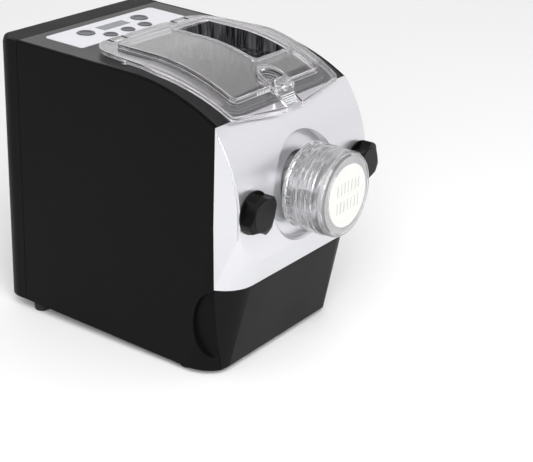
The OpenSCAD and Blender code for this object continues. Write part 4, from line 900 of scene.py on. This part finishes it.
def stand(item, place, right, up, back):
    """Puts a light or camera at a place in metres, its own X, Y and Z along right, up and back."""
    turn = Matrix(np.stack([right, up, back], 1).tolist()).to_4x4()
    item.matrix_world = Matrix.Translation(place) @ turn
    bpy.context.scene.collection.objects.link(item)


def hang_light(name, place, aim, side, power):
    """A square soft light at place, facing aim, in metres."""
    lamp = bpy.data.lights.new(name, "AREA")
    lamp.shape = "SQUARE"
    lamp.size = side
    lamp.energy = power
    holder = bpy.data.objects.new(name, lamp)
    back = np.array(place, float) - np.array(aim, float)
    back /= np.linalg.norm(back)
    right = np.cross([0, 0, 1], back)
    right /= np.linalg.norm(right)
    stand(holder, place, right, np.cross(back, right), back)


# The camera's place in mm in the seam frame, and its turn in degrees: yaw from +Y towards +X, pitch
# below the horizon, and roll.
CAMERA_AT = (-969.0, -660.38, 605.89)
CAMERA_YAW, CAMERA_PITCH, CAMERA_ROLL = 55.164, 23.242, 1.935
CAMERA_FOCAL_PX, FRAME_WIDTH_PX, SENSOR_WIDTH_MM, CAMERA_REACH_M = 1383.97, 533, 36, 50


def place_camera(scene):
    """Forward is (sin yaw cos pitch, cos yaw cos pitch, -sin pitch); roll turns right and up."""
    yaw, pitch, roll = (math.radians(v) for v in (CAMERA_YAW, CAMERA_PITCH, CAMERA_ROLL))
    level = math.cos(pitch)
    forward = np.array([math.sin(yaw) * level, math.cos(yaw) * level, -math.sin(pitch)])
    right = np.array([math.cos(yaw), -math.sin(yaw), 0])
    up = np.cross(right, forward)
    cos, sin = math.cos(roll), math.sin(roll)
    right, up = cos * right + sin * up, cos * up - sin * right
    lens = bpy.data.cameras.new("studio_camera")
    lens.sensor_width = SENSOR_WIDTH_MM
    lens.lens = CAMERA_FOCAL_PX * SENSOR_WIDTH_MM / FRAME_WIDTH_PX
    lens.clip_end = CAMERA_REACH_M
    camera = bpy.data.objects.new("studio_camera", lens)
    stand(camera, ((np.array(CAMERA_AT) + SEAM) * MM).tolist(), right, up, -forward)
    scene.camera = camera


class PASTA_PT_sidebar(bpy.types.Panel):
    """Lists the steps and their settings in the 3D view's sidebar"""

    bl_label = "Pasta Maker"
    bl_idname = "PASTA_PT_sidebar"
    bl_space_type = "VIEW_3D"
    bl_region_type = "UI"
    bl_category = "Pasta Maker"

    def draw(self, context):
        scene, layout = context.scene, self.layout
        for group in (scene.pasta_finish, scene.pasta_screw, scene.pasta_studio):
            box = layout.box()
            for name in group.__annotations__:
                box.prop(group, name)
        for step in STEPS:
            layout.operator(step.bl_idname)


STEPS = (
    PASTA_OT_dress_housing,
    PASTA_OT_dress_controls,
    PASTA_OT_dress_clear_parts,
    PASTA_OT_dress_drive,
    PASTA_OT_latch_spring,
    PASTA_OT_extruder_screw,
    PASTA_OT_latch_grip,
    PASTA_OT_lid_marks,
    PASTA_OT_stage,
)
SETTINGS = (PastaFinishSettings, PastaScrewSettings, PastaStudioSettings)


def register():
    for item in (*SETTINGS, *STEPS, PASTA_PT_sidebar):
        bpy.utils.register_class(item)
    bpy.types.Scene.pasta_finish = PointerProperty(type=PastaFinishSettings)
    bpy.types.Scene.pasta_screw = PointerProperty(type=PastaScrewSettings)
    bpy.types.Scene.pasta_studio = PointerProperty(type=PastaStudioSettings)


def unregister():
    del bpy.types.Scene.pasta_studio
    del bpy.types.Scene.pasta_screw
    del bpy.types.Scene.pasta_finish
    for item in reversed((*SETTINGS, *STEPS, PASTA_PT_sidebar)):
        bpy.utils.unregister_class(item)


def main():
    """Registers the add-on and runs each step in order."""
    register()
    for step in STEPS:
        group, name = step.bl_idname.split(".")
        getattr(getattr(bpy.ops, group), name)()


if __name__ == "__main__":
    main()
